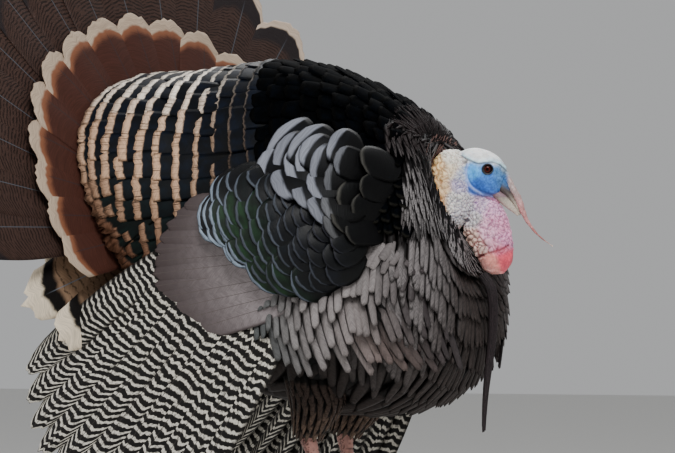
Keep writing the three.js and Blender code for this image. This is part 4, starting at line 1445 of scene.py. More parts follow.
    def build(self) -> list[bpy.types.Object]:
        """Makes the trunk's feathers in their fields."""
        glossy = VaneFinish(roughness=0.5, streaks=0.25, comb=0.85, gloss=0.1).build("rump_feather")
        black = VaneFinish(roughness=0.7, streaks=0.4, soft=0.06, rim=0.7, gloss=0.008).build("back_feather")
        grey = VaneFinish(roughness=0.55, streaks=0.5, soft=0.12, rim=0.66, gloss=0.15).build("breast_feather")
        streaky = VaneFinish(roughness=0.6, streaks=0.6, soft=0.12, rim=0.5, gloss=0.12).build("ruff_feather")
        square = VaneShape(across=8, along=8, corner=0.03, squareness=5, taper=0.02, cup=0.06, fray=0.02)
        rounded = VaneShape(across=6, along=8, cup=0.1, corner=0.08, squareness=3)
        strap = VaneShape(across=4, along=8, cup=0.6, arch=0.05, root=0.6, corner=0.16, taper=0.2)
        narrow = VaneShape(across=4, along=8, cup=0.5, root=0.6, corner=0.3, squareness=2, taper=0.35, fray=0.06)
        made = []
        rump = self.rows(4.9, 8.0, 0.25, self.rump, 11, 0.05, 0.12)
        back = self.rows(1.7, 5.0, 0.33, self.back, 12)
        breast = self.rows(1.2, 8.0, 0.45, self.breast, 13)
        ruff = self.rows(0.12, 2.6, 0.17, self.ruff, 14)
        low = (back.turned_by() < 128) & (back.tip[:, 2] > self.fold(back.tip) + 4) & (back.tip[:, 0] < 152)
        back = back.kept((back.turned_by() < 88) | low)
        side = (ruff.tip[:, 2] > self.fold(ruff.tip)) & (ruff.tip[:, 0] > 146)
        early = (ruff.cell[:, 1] - 0.03) * 8 / 0.94 < 2.2
        ruff = ruff.kept((early & (ruff.turned_by() < 60)) | side)
        over = ruff.tip[:, 2] - self.fold(ruff.tip)
        ahead = smooth(165, 190, ruff.tip[:, 0])
        ruff.tip = ruff.tip + ruff.up * (smooth(34, 0, over) * (-4.0 + 12.0 * ahead))[:, None]
        # Painted shadow: the ruff's feathers that end just above the fold, except at the front, are darkened.
        ruff.tint = ruff.tint * (1 - 0.75 * smooth(26, 4, over) * (1 - ahead))[:, None]
        beside = 34.0 * smooth(190, 175, breast.tip[:, 0]) * smooth(120, 100, breast.turned_by())
        breast = breast.kept(breast.tip[:, 2] < self.fold(breast.tip) - 6 - beside)
        station = (breast.cell[:, 1] - 0.03) * 8 / 0.94
        breast = breast.kept(breast.turned_by() > 88 + 44 * smooth(4.6, 5.6, station))
        # Painted shadow under the fold: breast feathers whose tips lie just below it are darkened.
        under = self.fold(breast.tip) - breast.tip[:, 2]
        breast.tint = breast.tint * (0.35 + 0.65 * smooth(8, 26, under))[:, None]
        station = (rump.cell[:, 1] - 0.03) * 8 / 0.94
        rump.tip = rump.tip + rump.up * (3.5 * smooth(6.9, 7.6, station) * smooth(7.98, 7.88, station))[:, None]
        rump = rump.kept(rump.turned_by() < 128 + 14 * smooth(6, 8, station))
        made.append(rump.mesh("coat_rump", square, glossy, 21))
        made.append(back.mesh("coat_back", rounded, black, 22))
        made.append(breast.mesh("coat_breast", strap, grey, 23))
        made.append(ruff.mesh("coat_ruff", narrow, streaky, 24))
        made.append(self.collar().mesh("coat_collar", narrow, streaky, 25))
        return made


# ---- Tail ---------------------------------------------------------------------------------------


@dataclass(frozen=True)
class Beard:
    """The tassel of coarse bristles that hangs from the middle of the breast."""

    path: tuple[tuple[float, float, float], ...] = (
        (194, 0, 366), (205, 0, 350), (208, 0, 320), (206, 0, 285), (201, 0, 250), (197, 0, 215), (195, 0, 176))
    wide: float = 9.0
    deep: float = 5.5
    tip: float = 1.6
    strands: int = 190
    rows: int = 16
    sides: int = 5
    radius: float = 0.8
    seed: int = 71

    def lines(self) -> Array:
        """The bristles' points, a row for each bristle."""
        rng = np.random.default_rng(self.seed)
        share = np.linspace(0, 1, self.rows)[None, :] * rng.uniform(0.72, 1.0, (self.strands, 1))
        flat = share.ravel()
        middle = catmull(np.array(self.path, float), flat)
        ahead = catmull(np.array(self.path, float), np.clip(flat + 0.02, 0, 1))
        along = unit(ahead - catmull(np.array(self.path, float), np.clip(flat - 0.02, 0, 1)))
        normal = unit(np.cross(np.array([0.0, 1.0, 0.0]), along))
        taper = 1 - (1 - self.tip / self.deep) * share**1.6
        angle = rng.uniform(0, 2 * np.pi, (self.strands, 1)) + rng.normal(0, 0.5, (self.strands, 1)) * share
        out = np.sqrt(rng.uniform(0, 1, (self.strands, 1))) * taper
        sway = np.array([0.0, 1.0, 0.0]) * (out * np.cos(angle) * self.wide).ravel()[:, None]
        points = middle + sway + normal * (out * np.sin(angle) * self.deep).ravel()[:, None]
        return points.reshape(self.strands, self.rows, 3)

    def tree(self) -> bpy.types.GeometryNodeTree:
        """The node group that turns lines into round bristles."""
        group = bpy.data.node_groups.new("bristles", "GeometryNodeTree")
        group.interface.new_socket("Geometry", in_out="INPUT", socket_type="NodeSocketGeometry")
        group.interface.new_socket("Radius", in_out="INPUT", socket_type="NodeSocketFloat")
        group.interface.new_socket("Sides", in_out="INPUT", socket_type="NodeSocketInt")
        group.interface.new_socket("Finish", in_out="INPUT", socket_type="NodeSocketMaterial")
        group.interface.new_socket("Geometry", in_out="OUTPUT", socket_type="NodeSocketGeometry")
        start, end = group.nodes.new("NodeGroupInput"), group.nodes.new("NodeGroupOutput")
        curve = group.nodes.new("GeometryNodeMeshToCurve")
        circle = group.nodes.new("GeometryNodeCurvePrimitiveCircle")
        sweep = group.nodes.new("GeometryNodeCurveToMesh")
        real = group.nodes.new("GeometryNodeRealizeInstances")
        dress = group.nodes.new("GeometryNodeSetMaterial")
        link = group.links.new
        link(start.outputs["Geometry"], curve.inputs["Mesh"])
        link(start.outputs["Sides"], circle.inputs["Resolution"])
        link(start.outputs["Radius"], circle.inputs["Radius"])
        link(curve.outputs["Curve"], sweep.inputs["Curve"])
        link(circle.outputs["Curve"], sweep.inputs["Profile Curve"])
        sweep.inputs["Fill Caps"].default_value = True
        link(sweep.outputs["Mesh"], real.inputs["Geometry"])
        link(real.outputs["Geometry"], dress.inputs["Geometry"])
        link(start.outputs["Finish"], dress.inputs["Material"])
        link(dress.outputs["Geometry"], end.inputs["Geometry"])
        return group

    def build(self) -> list[bpy.types.Object]:
        """Makes the beard."""
        mix = Recipe("bristle")
        tone = mix.step(mix.noise(mix.own_place(), 700.0, 2.0), 0.3, 0.7)
        finish = mix.finish(Base_Color=mix.mix(tone, dye("0a0808"), dye("31272a")), Roughness=0.5,
                            Specular_IOR_Level=0.25)
        points = self.lines()
        number = np.arange(self.strands * self.rows).reshape(self.strands, self.rows)
        edges = np.stack([number[:, :-1], number[:, 1:]], -1).reshape(-1, 2)
        mesh = bpy.data.meshes.new("beard_bristles")
        mesh.from_pydata(Place.metres(points.reshape(-1, 3)).tolist(), edges.tolist(), [])
        made = bpy.data.objects.new("beard_bristles", mesh)
        bpy.context.scene.collection.objects.link(made)
        modifier = made.modifiers.new("bristles", "NODES")
        modifier.node_group = self.tree()
        values = {"Radius": self.radius / 1000.0, "Sides": self.sides, "Finish": finish}
        for item in modifier.node_group.interface.items_tree:
            if item.in_out == "INPUT" and item.name in values:
                modifier[item.identifier] = values[item.name]
        settle(made)
        count = len(made.data.vertices)
        spread = np.stack([np.arange(count) % 7, np.arange(count) % 5], -1) / 7.0 - 0.4
        set_map(made, "OFBake", np.array([0.5, 0.05]) + spread * 0.006)
        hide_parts("beard")
        return [made]


@dataclass(frozen=True)
class Fan:
    """The plane of the spread tail, and places on it by radius and angle from its top."""

    base: tuple[float, float, float] = (-205.0, 0.0, 423.0)
    yaw: float = -18.8
    lean: float = 22.6
    roll: float = 7.2
    feathers: int = 18
    spacing: float = 11.4
    root: float = 28.0
    length: float = 411.0
    outer_shortening: float = 22.0

    def axes(self) -> tuple[Array, Array, Array]:
        """The fan's up, left and front directions."""
        lean = math.radians(self.lean)
        front = turned(np.array([math.cos(lean), 0.0, math.sin(lean)]), self.yaw)
        left = unit(np.cross(Z_AXIS, front))
        return np.cross(front, left), left, front

    def point(self, radius: Array, degrees: Array, in_front: Array) -> Array:
        """Points by radius, angle from the top towards the left, and distance in front."""
        up, left, front = self.axes()
        turn = np.radians(degrees)
        across = (radius * np.sin(turn))[..., None] * left
        return np.array(self.base) + (radius * np.cos(turn))[..., None] * up + across + np.asarray(in_front)[..., None] * front

    def middles(self) -> Array:
        """The angle of each tail feather's shaft."""
        return self.roll + (np.arange(self.feathers) - (self.feathers - 1) / 2) * self.spacing


@dataclass(frozen=True)
class FanFinish:
    """A big barred feather: fine wavy bars, a pale shaft, a dark band, a pale end and, if edge is set, painted shade
    along its edges.
    """

    ground: str
    bar: str
    dark: str
    pale: str
    length: float
    dark_from: float
    pale_from: float
    bar_gap: float = 7.0
    bar_depth: float = 0.75
    bar_start: float = -0.1
    comb: float = 0.0
    waver: float = 13.0
    broken: float = 1.0
    shaft: str = "6f7680"
    shaft_half: float = 0.012
    dark_soft: float = 3.0
    edge: float = 0.0

    def build(self, name: str) -> bpy.types.Material:
        """Mixes the material from the vane map, measured in millimetres along the feather."""
        mix = Recipe(name)
        vane = mix.node("SeparateXYZ", {0: mix.node("UVMap", uv_map="vane").outputs[0]})
        across, along = vane.outputs[0], vane.outputs[1]
        chance = mix.node("SeparateColor", {0: mix.attribute("marks").outputs[0]}).outputs[2]
        seed = mix.math("MULTIPLY", chance, 91.0)
        run = mix.math("MULTIPLY", along, self.length)
        off = mix.math("ABSOLUTE", mix.math("SUBTRACT", across, 0.5))
        barb = mix.math("SUBTRACT", run, mix.math("MULTIPLY", off, 38.0))
        fibre = mix.noise(mix.vector(mix.math("MULTIPLY", barb, 0.9), mix.math("MULTIPLY", across, 3.0), seed), 1.0, 3.0, 0.65)
        wave = mix.noise(mix.vector(mix.math("MULTIPLY", across, 5.0), mix.math("MULTIPLY", run, 0.03), seed), 1.0, 2.0)
        place = mix.math("ADD", mix.math("ADD", run, mix.math("MULTIPLY", wave, self.waver)), mix.math("MULTIPLY", fibre, self.waver * 0.2))
        bars = mix.math("SINE", mix.math("MULTIPLY", place, 2 * math.pi / self.bar_gap))
        speck = mix.noise(mix.vector(mix.math("MULTIPLY", across, 16.0), mix.math("MULTIPLY", run, 0.35), seed), 1.0, 2.0)
        barred = mix.math("MULTIPLY", mix.step(bars, self.bar_start, self.bar_start + 0.7), mix.step(speck, 0.34, 0.5, 1.0 - self.broken))
        ground = mix.mix(mix.step(fibre, 0.25, 0.75), dye(self.ground) * 0.72, dye(self.ground) * 1.2)
        colour = mix.mix(mix.math("MULTIPLY", barred, self.bar_depth), ground, dye(self.bar))
        edge = mix.math("ADD", run, mix.math("MULTIPLY_ADD", fibre, 5.0, -2.5))
        colour = mix.mix(mix.step(edge, self.dark_from - self.dark_soft, self.dark_from + self.dark_soft), colour, dye(self.dark))
        pale = mix.mix(mix.step(fibre, 0.3, 0.75), dye(self.pale), dye(self.pale) * 0.62)
        ended = mix.step(edge, self.pale_from - 2, self.pale_from + 2.5)
        colour = mix.mix(ended, colour, pale)
        if self.comb:
            slit = mix.noise(mix.vector(mix.math("MULTIPLY", across, 34.0), mix.math("MULTIPLY", run, 0.04), seed), 1.0, 1.0)
            cuts = mix.math("MULTIPLY", mix.step(slit, 0.5, 0.62), mix.step(run, self.pale_from, self.pale_from + 8))
            colour = mix.mix(mix.math("MULTIPLY", cuts, self.comb), colour, dye("2a1c15"))
        shaft = mix.math("MULTIPLY", mix.step(off, self.shaft_half, self.shaft_half * 0.4),
                         mix.step(run, self.pale_from, self.dark_from - 10))
        colour = mix.mix(shaft, colour, dye(self.shaft))
        # Painted shade: both side edges of the vane are darkened towards the dark colour.
        if self.edge:
            edge_wear_and_shade = mix.step(mix.math("MULTIPLY_ADD", fibre, 0.08, off), 0.4, 0.53, 0.0, self.edge)
            colour = mix.mix(edge_wear_and_shade, colour, dye(self.dark))
        mix.bump(fibre, 0.0004)
        return mix.finish(Base_Color=colour, Roughness=0.6, Specular_IOR_Level=0.15)


@dataclass
class Tail:
    """The fan, the great coverts before it and the coverts under it."""

    fan: Fan = field(default_factory=Fan)
    covert_from: float = -106.0
    covert_to: float = 80.0
    covert_count: int = 15
    covert_radius: float = 281.0
    under_from: float = 102.0
    under_to: float = 265.0
    under_radius: float = 298.0
    under_below: float = 150.0
    hub: float = 72.0

    def spread(self, angle: Array, inner: Array, outer: Array, lift: tuple[Array, Array], width: Array,
               tilt: float, cells: Array, patch: tuple[float, float]) -> Feathers:
        """Feathers that stand out from the tail's root like spokes.

        Args:
            angle: the angle of each one's shaft.
            inner: the radius of its root.
            outer: the radius of its tip.
            lift: how far its root and its tip are in front of the fan.
            width: its width.
            tilt: how steeply one edge stands in front of the other.
            cells: its place on the baking map.
            patch: the size of its patch there.

        Returns:
            The feathers.
        """
        _, _, front = self.fan.axes()
        root, tip = self.fan.point(inner, angle, lift[0]), self.fan.point(outer, angle, lift[1])
        side = unit(self.fan.point(inner + 1, angle + 90, inner * 0) - np.array(self.fan.base))
        up = unit(front[None] + side * tilt)
        plain = np.zeros((len(angle), 3))
        return Feathers(root, tip, up, width, plain, plain, plain, np.zeros((len(angle), 2)), cells, patch)

    def build(self) -> list[bpy.types.Object]:
        """Makes the fan in three pieces, the coverts and the undertail."""
        fan = self.fan
        angle = fan.middles()
        off = np.abs(np.arange(fan.feathers) - 8.5)
        outer = fan.length - fan.outer_shortening * (off / 9) ** 2
        # The dark band is partly the tail feathers' own dark colour and partly painted sheen, which makes it lighter
        # and greyer.
        brown = FanFinish("3e2d27", "0b0706", "221c1d", "cdb8a4", 367.0, 322.0, 352.0, 5.0,
                          waver=9.0, shaft="4c5158", shaft_half=0.009, dark_soft=7.0).build("fan_feather")
        rust = FanFinish("41241c", "190e0b", "7d4f38", "baa590", 247.0, 223.0, 231.0, 4.0, 0.5, 0.9,
                         waver=5.0, shaft="33292a", dark_soft=6.0)
        buff = FanFinish("8a6f58", "0f0b09", "0b0807", "e6d6bd", 150.0, 118.0, 132.0, 8.0, 0.85, 0.5)
        broad = VaneShape(lined=True, across=16, along=40, cup=0.06, arch=0.0, root=0.2, fullest=0.92, corner=0.13,
                          squareness=2.4, taper=0.04, fray=0.012, depth=0.7)
        made = []
        for part in range(3):
            chosen = np.arange(part * 6, part * 6 + 6)
            cells = np.stack([(np.arange(6) + 0.5) / 6, np.full(6, 0.5)], -1)
            width = outer[chosen] * 0.225
            zero = np.zeros(6)
            rows = self.spread(angle[chosen], zero + fan.root, outer[chosen], (zero, zero), width, 0.045, cells, (0.15, 0.94))
            blade = rows.mesh(f"tail_fan_{part + 1}", broad, brown, 31 + part)
            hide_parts(*(f"tail_feather_{number + 1:02d}" for number in chosen))
            made.append(blade)
        made.append(self.coverts(rust.build("rust_covert")))
        made.append(self.undertail(buff.build("buff_covert")))
        return made

    def coverts(self, finish: bpy.types.Material) -> bpy.types.Object:
        """The great coverts, a scalloped ring in two rows."""
        count = self.covert_count
        gap = (self.covert_to - self.covert_from) / count
        rows = []
        for row, (share, lift) in enumerate(((0.66, 13.0), (1.0, 15.0))):
            number = np.arange(count + (1 - row))
            angle = self.covert_from + (number + 0.5 * row) * gap
            radius = self.covert_radius * share * (1 - 0.15 * smooth(35, 105, -angle))
            zero = np.zeros(len(angle))
            cells = np.stack([(number + 0.5) / (count + 1), zero + 0.25 + 0.5 * row], -1)
            spread = self.spread(angle, zero + 26, radius, (zero + 6 + 5 * (1 - row), zero + lift + 3 * (1 - row)),
                                 radius * 0.29, 0.05, cells, (0.058, 0.46))
            rows.append(spread)
        joined = Feathers(*(np.concatenate([getattr(one, name) for one in rows]) for name in
                            ("root", "tip", "up", "width", "base", "gloss", "tint", "band", "cell")), rows[0].patch)
        shape = VaneShape(lined=True, across=14, along=26, cup=0.08, root=0.3, fullest=0.85, corner=0.11, squareness=2.1,
                          taper=0.02, fray=0.01, depth=0.8)
        made = joined.mesh("tail_covert_ring", shape, finish, 41)
        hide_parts("tail_coverts")
        return made

    def undertail(self, finish: bpy.types.Material) -> bpy.types.Object:
        """The coverts behind and below the fan."""
        rows = []
        for row, share in enumerate((1.0, 0.8, 0.6)):
            count = 13
            angle = self.under_from + 6 + (self.under_to - self.under_from - 12) * (np.arange(count) + 0.5 * (row % 2)) / (count - 0.5)
            below = np.cos(np.radians(angle - 180)) ** 2
            radius = (self.under_radius + (self.under_below - self.under_radius) * below) * share
            zero = np.zeros(count)
            lift = -9 - 31 * (radius / self.under_radius) ** 1.3
            cells = np.stack([(np.arange(count) + 0.5) / count, zero + (row + 0.5) / 4], -1)
            rows.append(self.spread(angle, zero + 24, radius, (zero - 9, lift), radius * 0.27, -0.06, cells, (0.06, 0.22)))
        angle = np.arange(count) * 360 / count
        cells = np.stack([(np.arange(count) + 0.5) / count, zero + 3.5 / 4], -1)
        rows.append(self.spread(angle, zero + 2, zero + self.hub, (zero - 12, zero - 9), zero + self.hub * 0.6, -0.06,
                                cells, (0.06, 0.22)))
        joined = Feathers(*(np.concatenate([getattr(one, name) for one in rows]) for name in
                            ("root", "tip", "up", "width", "base", "gloss", "tint", "band", "cell")), rows[0].patch)
        shape = VaneShape(lined=True, across=10, along=14, cup=0.1, root=0.3, fullest=0.8, corner=0.14, fray=0.04, depth=0.8)
        made = joined.mesh("undertail_fringe", shape, finish, 43)
        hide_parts("undertail_coverts")
        return made


# ---- Wings --------------------------------------------------------------------------------------


@dataclass(frozen=True)
class Pillow:
    """A rounded mass of small feathers on the side of the bird."""

    centre: tuple[float, float, float]
    half: tuple[float, float, float]
    tilt: float

    def reach(self, x: Array, z: Array) -> Array:
        """How far out the mass reaches at places seen from the side, sloping in beyond its rim."""
        turn = math.radians(self.tilt)
        dx, dz = x - self.centre[0], z - self.centre[2]
        along = (dx * math.cos(turn) - dz * math.sin(turn)) / self.half[0]
        up = (dx * math.sin(turn) + dz * math.cos(turn)) / self.half[2]
        away = np.hypot(along, up)
        return self.centre[1] - self.half[1] * np.sqrt(np.maximum(1 - away**2, 0)) + 150 * np.maximum(away - 1, 0)

    def outside(self, x: Array, z: Array) -> tuple[Array, Array]:
        """How far out the mass reaches at places seen from the side, and its outward normals."""
        turn = math.radians(self.tilt)
        dx, dz = x - self.centre[0], z - self.centre[2]
        along = (dx * math.cos(turn) - dz * math.sin(turn)) / self.half[0]
        up = (dx * math.sin(turn) + dz * math.cos(turn)) / self.half[2]
        left = np.sqrt(np.maximum(1 - along**2 - up**2, 0.03))
        nx = along / self.half[0] * math.cos(turn) + up / self.half[2] * math.sin(turn)
        nz = -along / self.half[0] * math.sin(turn) + up / self.half[2] * math.cos(turn)
        return self.centre[1] - self.half[1] * left, unit(np.stack([nx, -left / self.half[1], nz], -1))


class Shell:
    """The outside of one side of the bird as an even height over the view from the side."""

    step: float = 6.0
    low: tuple[float, float] = (-170.0, 190.0)
    size: tuple[int, int] = (78, 80)
    rounds: int = 5

    def __init__(self, side: float, masses: list[tuple[Pillow, float, float]]) -> None:
        """Finds the outermost of the trunk and some masses, each moved in x and z, and evens it out."""
        station, angle = np.meshgrid(np.linspace(0.2, 7.9, 130), np.linspace(0.03, np.pi - 0.03, 110))
        trunk = Trunk().point(station.ravel(), side * angle.ravel())
        tree = KDTree(len(trunk))
        for index, (x, _, z) in enumerate(trunk):
            tree.insert((x, 0.0, z), index)
        tree.balance()
        x = self.low[0] + self.step * np.arange(self.size[0])[:, None] + np.zeros((1, self.size[1]))
        z = self.low[1] + self.step * np.arange(self.size[1])[None, :] + np.zeros((self.size[0], 1))
        found = [tree.find((a, 0.0, b)) for a, b in zip(x.ravel(), z.ravel())]
        height = np.array([-abs(trunk[index, 1]) + 1.5 * away for _, index, away in found]).reshape(x.shape)
        for mass, ahead, higher in masses:
            height = np.minimum(height, mass.reach(x - ahead, z - higher) - 2.0)
        for _ in range(self.rounds):
            for axis in (0, 1):
                edge = np.pad(height, [(1, 1) if axis == a else (0, 0) for a in (0, 1)], "edge")
                height = (np.roll(edge, 1, axis) + 2 * edge + np.roll(edge, -1, axis)) / 4
                height = height[1:-1] if axis == 0 else height[:, 1:-1]
        self.height = height

    def level(self, x: Array, z: Array) -> Array:
        """How far out the side reaches, as y on the right side."""
        i = np.clip((x - self.low[0]) / self.step, 0, self.size[0] - 1.001)
        j = np.clip((z - self.low[1]) / self.step, 0, self.size[1] - 1.001)
        a, b = i.astype(int), j.astype(int)
        u, v = i - a, j - b
        h = self.height
        return (h[a, b] * (1 - u) + h[a + 1, b] * u) * (1 - v) + (h[a, b + 1] * (1 - u) + h[a + 1, b + 1] * u) * v

    def outside(self, x: Array, z: Array) -> tuple[Array, Array]:
        """How far out the side reaches at places seen from the side, and the outward normals."""
        e = self.step
        slope_x = (self.level(x + e, z) - self.level(x - e, z)) / (2 * e)
        slope_z = (self.level(x, z + e) - self.level(x, z - e)) / (2 * e)
        return self.level(x, z), unit(np.stack([slope_x, -np.ones_like(x), slope_z], -1))


@dataclass(frozen=True)
class Wing:
    """One folded, drooped wing. All places are given for the right side."""

    side: float
    word: str
    left_forward: float = 38.0
    left_lower: float = 14.0
    coverts: Pillow = Pillow((2, -171, 412), (112, 38, 78), 20)
    scapulars: Pillow = Pillow((46, -142, 474), (84, 36, 72), 26)
    shoulder_rows: tuple[tuple[float, ...], ...] = (
        (-8, 552, -24, 526, -28, 502, -21, 478),
        (12, 545, -4, 518, 1, 492, 8, 468),
        (32, 548, 16, 524, 14, 500, 20, 476),
        (52, 548, 31, 516, 30, 489, 37, 446),
        (72, 538, 49, 504, 50, 466, 72, 408),
        (92, 532, 70, 492, 69, 453, 80, 410),
        (108, 516, 88, 478, 82, 443, 86, 404),
        (120, 496, 104, 466, 98, 438, 98, 406),
    )
    covert_tops: tuple[tuple[float, float], ...] = ((-100, 452), (-70, 490), (-18, 486), (24, 462), (70, 430))
    covert_ends: tuple[tuple[float, float], ...] = ((-58, 392), (-8, 348), (38, 340), (80, 350), (110, 384))

    def carry(self, points: Array, with_wing: bool) -> Array:
        """Points given for the right side, on this wing's side."""
        if self.side < 0:
            return points
        away = np.array([self.left_forward, 0.0, -self.left_lower]) if with_wing else np.zeros(3)
        return points * np.array([1.0, -1.0, 1.0]) + away

    def row_feathers(self, lines: list[Array], ground: Pillow | Shell, length: float, width: float, step: float,
                     sink: float, seed: int, out: float) -> tuple[Feathers, Array, Array]:
        """Feathers whose tips stand in curved rows over a rounded mass.

        Args:
            lines: each row's line of x and z, from its upper end to its lower one.
            ground: what they lie on; over a single mass they go with the wing.
            length: the feathers' length.
            width: their width.
            step: how far apart they stand along a row.
            sink: how deep their roots lie.
            seed: what the irregularities are drawn from.
            out: how far the tips stand off the mass.

        Returns:
            The feathers, the row's number of each as a share, and its place down the row.
        """
        rng = np.random.default_rng(seed)
        roots, tips, ups, shares, downs = [], [], [], [], []
        for number, line in enumerate(lines):
            front = number / max(len(lines) - 1, 1)
            run = np.linalg.norm(np.diff(line, axis=0), axis=1).sum()
            count = max(round(run / step), 2)
            place = (np.arange(count) + 0.3 + 0.4 * (number % 2) + rng.normal(0, 0.08, count)) / count
            at = catmull(line, place)
            ahead = unit(catmull(line, np.clip(place + 0.04, 0, 1)) - catmull(line, np.clip(place - 0.04, 0, 1)))
            back = np.stack([ahead[:, 1], -ahead[:, 0]], -1)
            back = unit(np.where(back[:, :1] > 0, -back, back))
            size = length * (1 - 0.4 * front**1.5) * rng.normal(1, 0.05, count)
            start = at - back * size[:, None]
            y, normal = ground.outside(at[:, 0], at[:, 1])
            y_root, _ = ground.outside(start[:, 0], start[:, 1])
            tips.append(np.stack([at[:, 0], y - out + rng.normal(0, 0.6, count), at[:, 1]], -1))
            roots.append(np.stack([start[:, 0], y_root + sink * (1 + front), start[:, 1]], -1))
            ups.append(normal)
            shares.append(np.full(count, front))
            downs.append(place)
        with_wing = isinstance(ground, Pillow)
        root, tip = (self.carry(np.concatenate(rows), with_wing) for rows in (roots, tips))
        up = np.concatenate(ups) * np.array([1.0, -self.side, 1.0])
        share, down = np.concatenate(shares), np.concatenate(downs)
        count = len(share)
        plain = np.zeros((count, 3))
        cells = np.stack([0.04 + 0.92 * share, 0.04 + 0.92 * down], -1)
        size = width * (1 - 0.4 * share**2) * rng.normal(1, 0.06, count)
        made = Feathers(root, tip, unit(up), size, plain, plain, plain, np.zeros((count, 2)), cells, (0.02, 0.03))
        return made, share, down

    def scapular_piece(self) -> bpy.types.Object:
        """Broad shoulder feathers in curved rows, with a silvery band that is partly their own colour and partly
        painted sheen.
        """
        lines = [np.array(row, float).reshape(-1, 2) for row in self.shoulder_rows]
        shift = (self.left_forward, -self.left_lower) if self.side > 0 else (0.0, 0.0)
        ground = Shell(self.side, [(self.scapulars, 0.0, 0.0), (self.coverts, *shift)])
        feathers, share, down = self.row_feathers(lines, ground, 54.0, 62.0, 36.0, 9.0, 51, 6.0)
        # The band's silvery grey is partly the feathers' own colour and partly the painted sheen of their iridescence.
        feathers.tint = mixed(dye("7d808a"), dye("3d3c38"), smooth(0.62, 0.86, share + 0.08 * down))
        feathers.tint = feathers.tint * np.random.default_rng(55).uniform(0.7, 1.1, (len(share), 1))
        feathers.tint = mixed(feathers.tint, dye("b79f93"), (share < 0.1) * (down > 0.7) * 0.8)
        feathers.base = np.broadcast_to(dye("040405"), feathers.tint.shape)
        feathers.gloss = mixed(dye("0b0d12"), dye("040506"), smooth(0.5, 0.8, share))
        feathers.band = np.stack([0.69 + 0.14 * share + 0.08 * smooth(0.6, 0.9, share), 0.965 + 0 * share], -1)
        finish = VaneFinish(roughness=0.5, streaks=0.25, soft=0.08, rim=0.92, gloss=0.12).build("shoulder_feather_" + self.word)
        shape = VaneShape(across=10, along=10, cup=0.14, arch=0.05, corner=0.22, squareness=2.2, taper=0.06, fray=0.01)
        made = feathers.mesh("shoulder_feathers_" + self.word, shape, finish, 52)
        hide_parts("scapulars_" + self.word)
        return made

    def covert_piece(self) -> bpy.types.Object:
        """The dark wing coverts, in close rows with thin pale edges."""
        lines = []
        tops, ends = np.array(self.covert_tops, float), np.array(self.covert_ends, float)
        for share in np.linspace(0, 1, 15):
            top, end = catmull(tops, np.array([share]))[0], catmull(ends, np.array([share]))[0]
            middle = (top + end) / 2 + np.array([-16.0, -4.0]) * (1 - 0.4 * share)
            lines.append(np.stack([top, middle, end]))
        feathers, share, down = self.row_feathers(lines, self.coverts, 58.0, 58.0, 33.0, 9.0, 53, 2.0)
        pale = mixed(dye("8795a5"), dye("4a515b"), smooth(0.0, 0.35, share))
        faded = np.random.default_rng(56).uniform(0.3, 1.1, (len(share), 1))
        feathers.tint = mixed(pale, dye("25262f"), smooth(0.45, 0.9, share)) * np.where(share[:, None] > 0.25, faded, 1)
        feathers.base = np.broadcast_to(dye("030405"), feathers.tint.shape)
        green = smooth(0.05, 0.2, share) * smooth(0.6, 0.35, share) * smooth(0.1, 0.3, down)
        feathers.gloss = mixed(dye("070a12"), dye("16301a"), green)
        feathers.band = np.stack([0.9 + 0.04 * share, 0.98 + 0 * share], -1)
        finish = VaneFinish(roughness=0.45, streaks=0.3, soft=0.03, gloss=0.18).build("wing_covert_" + self.word)
        shape = VaneShape(across=10, along=10, cup=0.12, arch=0.05, corner=0.2, squareness=2.3, fray=0.012)
        made = feathers.mesh("wing_covert_feathers_" + self.word, shape, finish, 54)
        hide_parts("wing_" + self.word)
        return made

    def flight_piece(self, name: str, count: int, roots: tuple, tips: tuple, y: tuple[float, float], bulge: float,
                     width: float, shape: VaneShape, finish: bpy.types.Material, seed: int) -> bpy.types.Object:
        """A row of long feathers side by side.

        Args:
            name: the object's name.
            count: how many feathers.
            roots: the corners of the curve that their roots stand on.
            tips: the corners of the curve that their tips stand on.
            y: how far out the roots and the tips are.
            bulge: not used.
            width: a feather's width.
            shape: the form of its vane.
            finish: its material.
            seed: what the ragged tips are drawn from.

        Returns:
            The object.
        """
        share = (np.arange(count) + 0.5) / count
        root, tip = bezier(roots, share), bezier(tips, share)
        layer = (share - 0.5) * -3.0
        start = np.stack([root[:, 0], y[0] + layer, root[:, 1]], -1)
        end = np.stack([tip[:, 0], y[1] + layer, tip[:, 1]], -1)
        start, end = self.carry(start, True), self.carry(end, True)
        up = np.broadcast_to(np.array([0.0, self.side, 0.0]), start.shape) + np.array([0.0, 0.0, 0.05])
        plain = np.zeros((count, 3))
        cells = np.stack([share, np.full(count, 0.5)], -1)
        feathers = Feathers(start, end, unit(up), np.full(count, width), plain, plain, plain,
                            np.zeros((count, 2)), cells, (0.9 / count, 0.94))
        return feathers.mesh(name, shape, finish, seed)

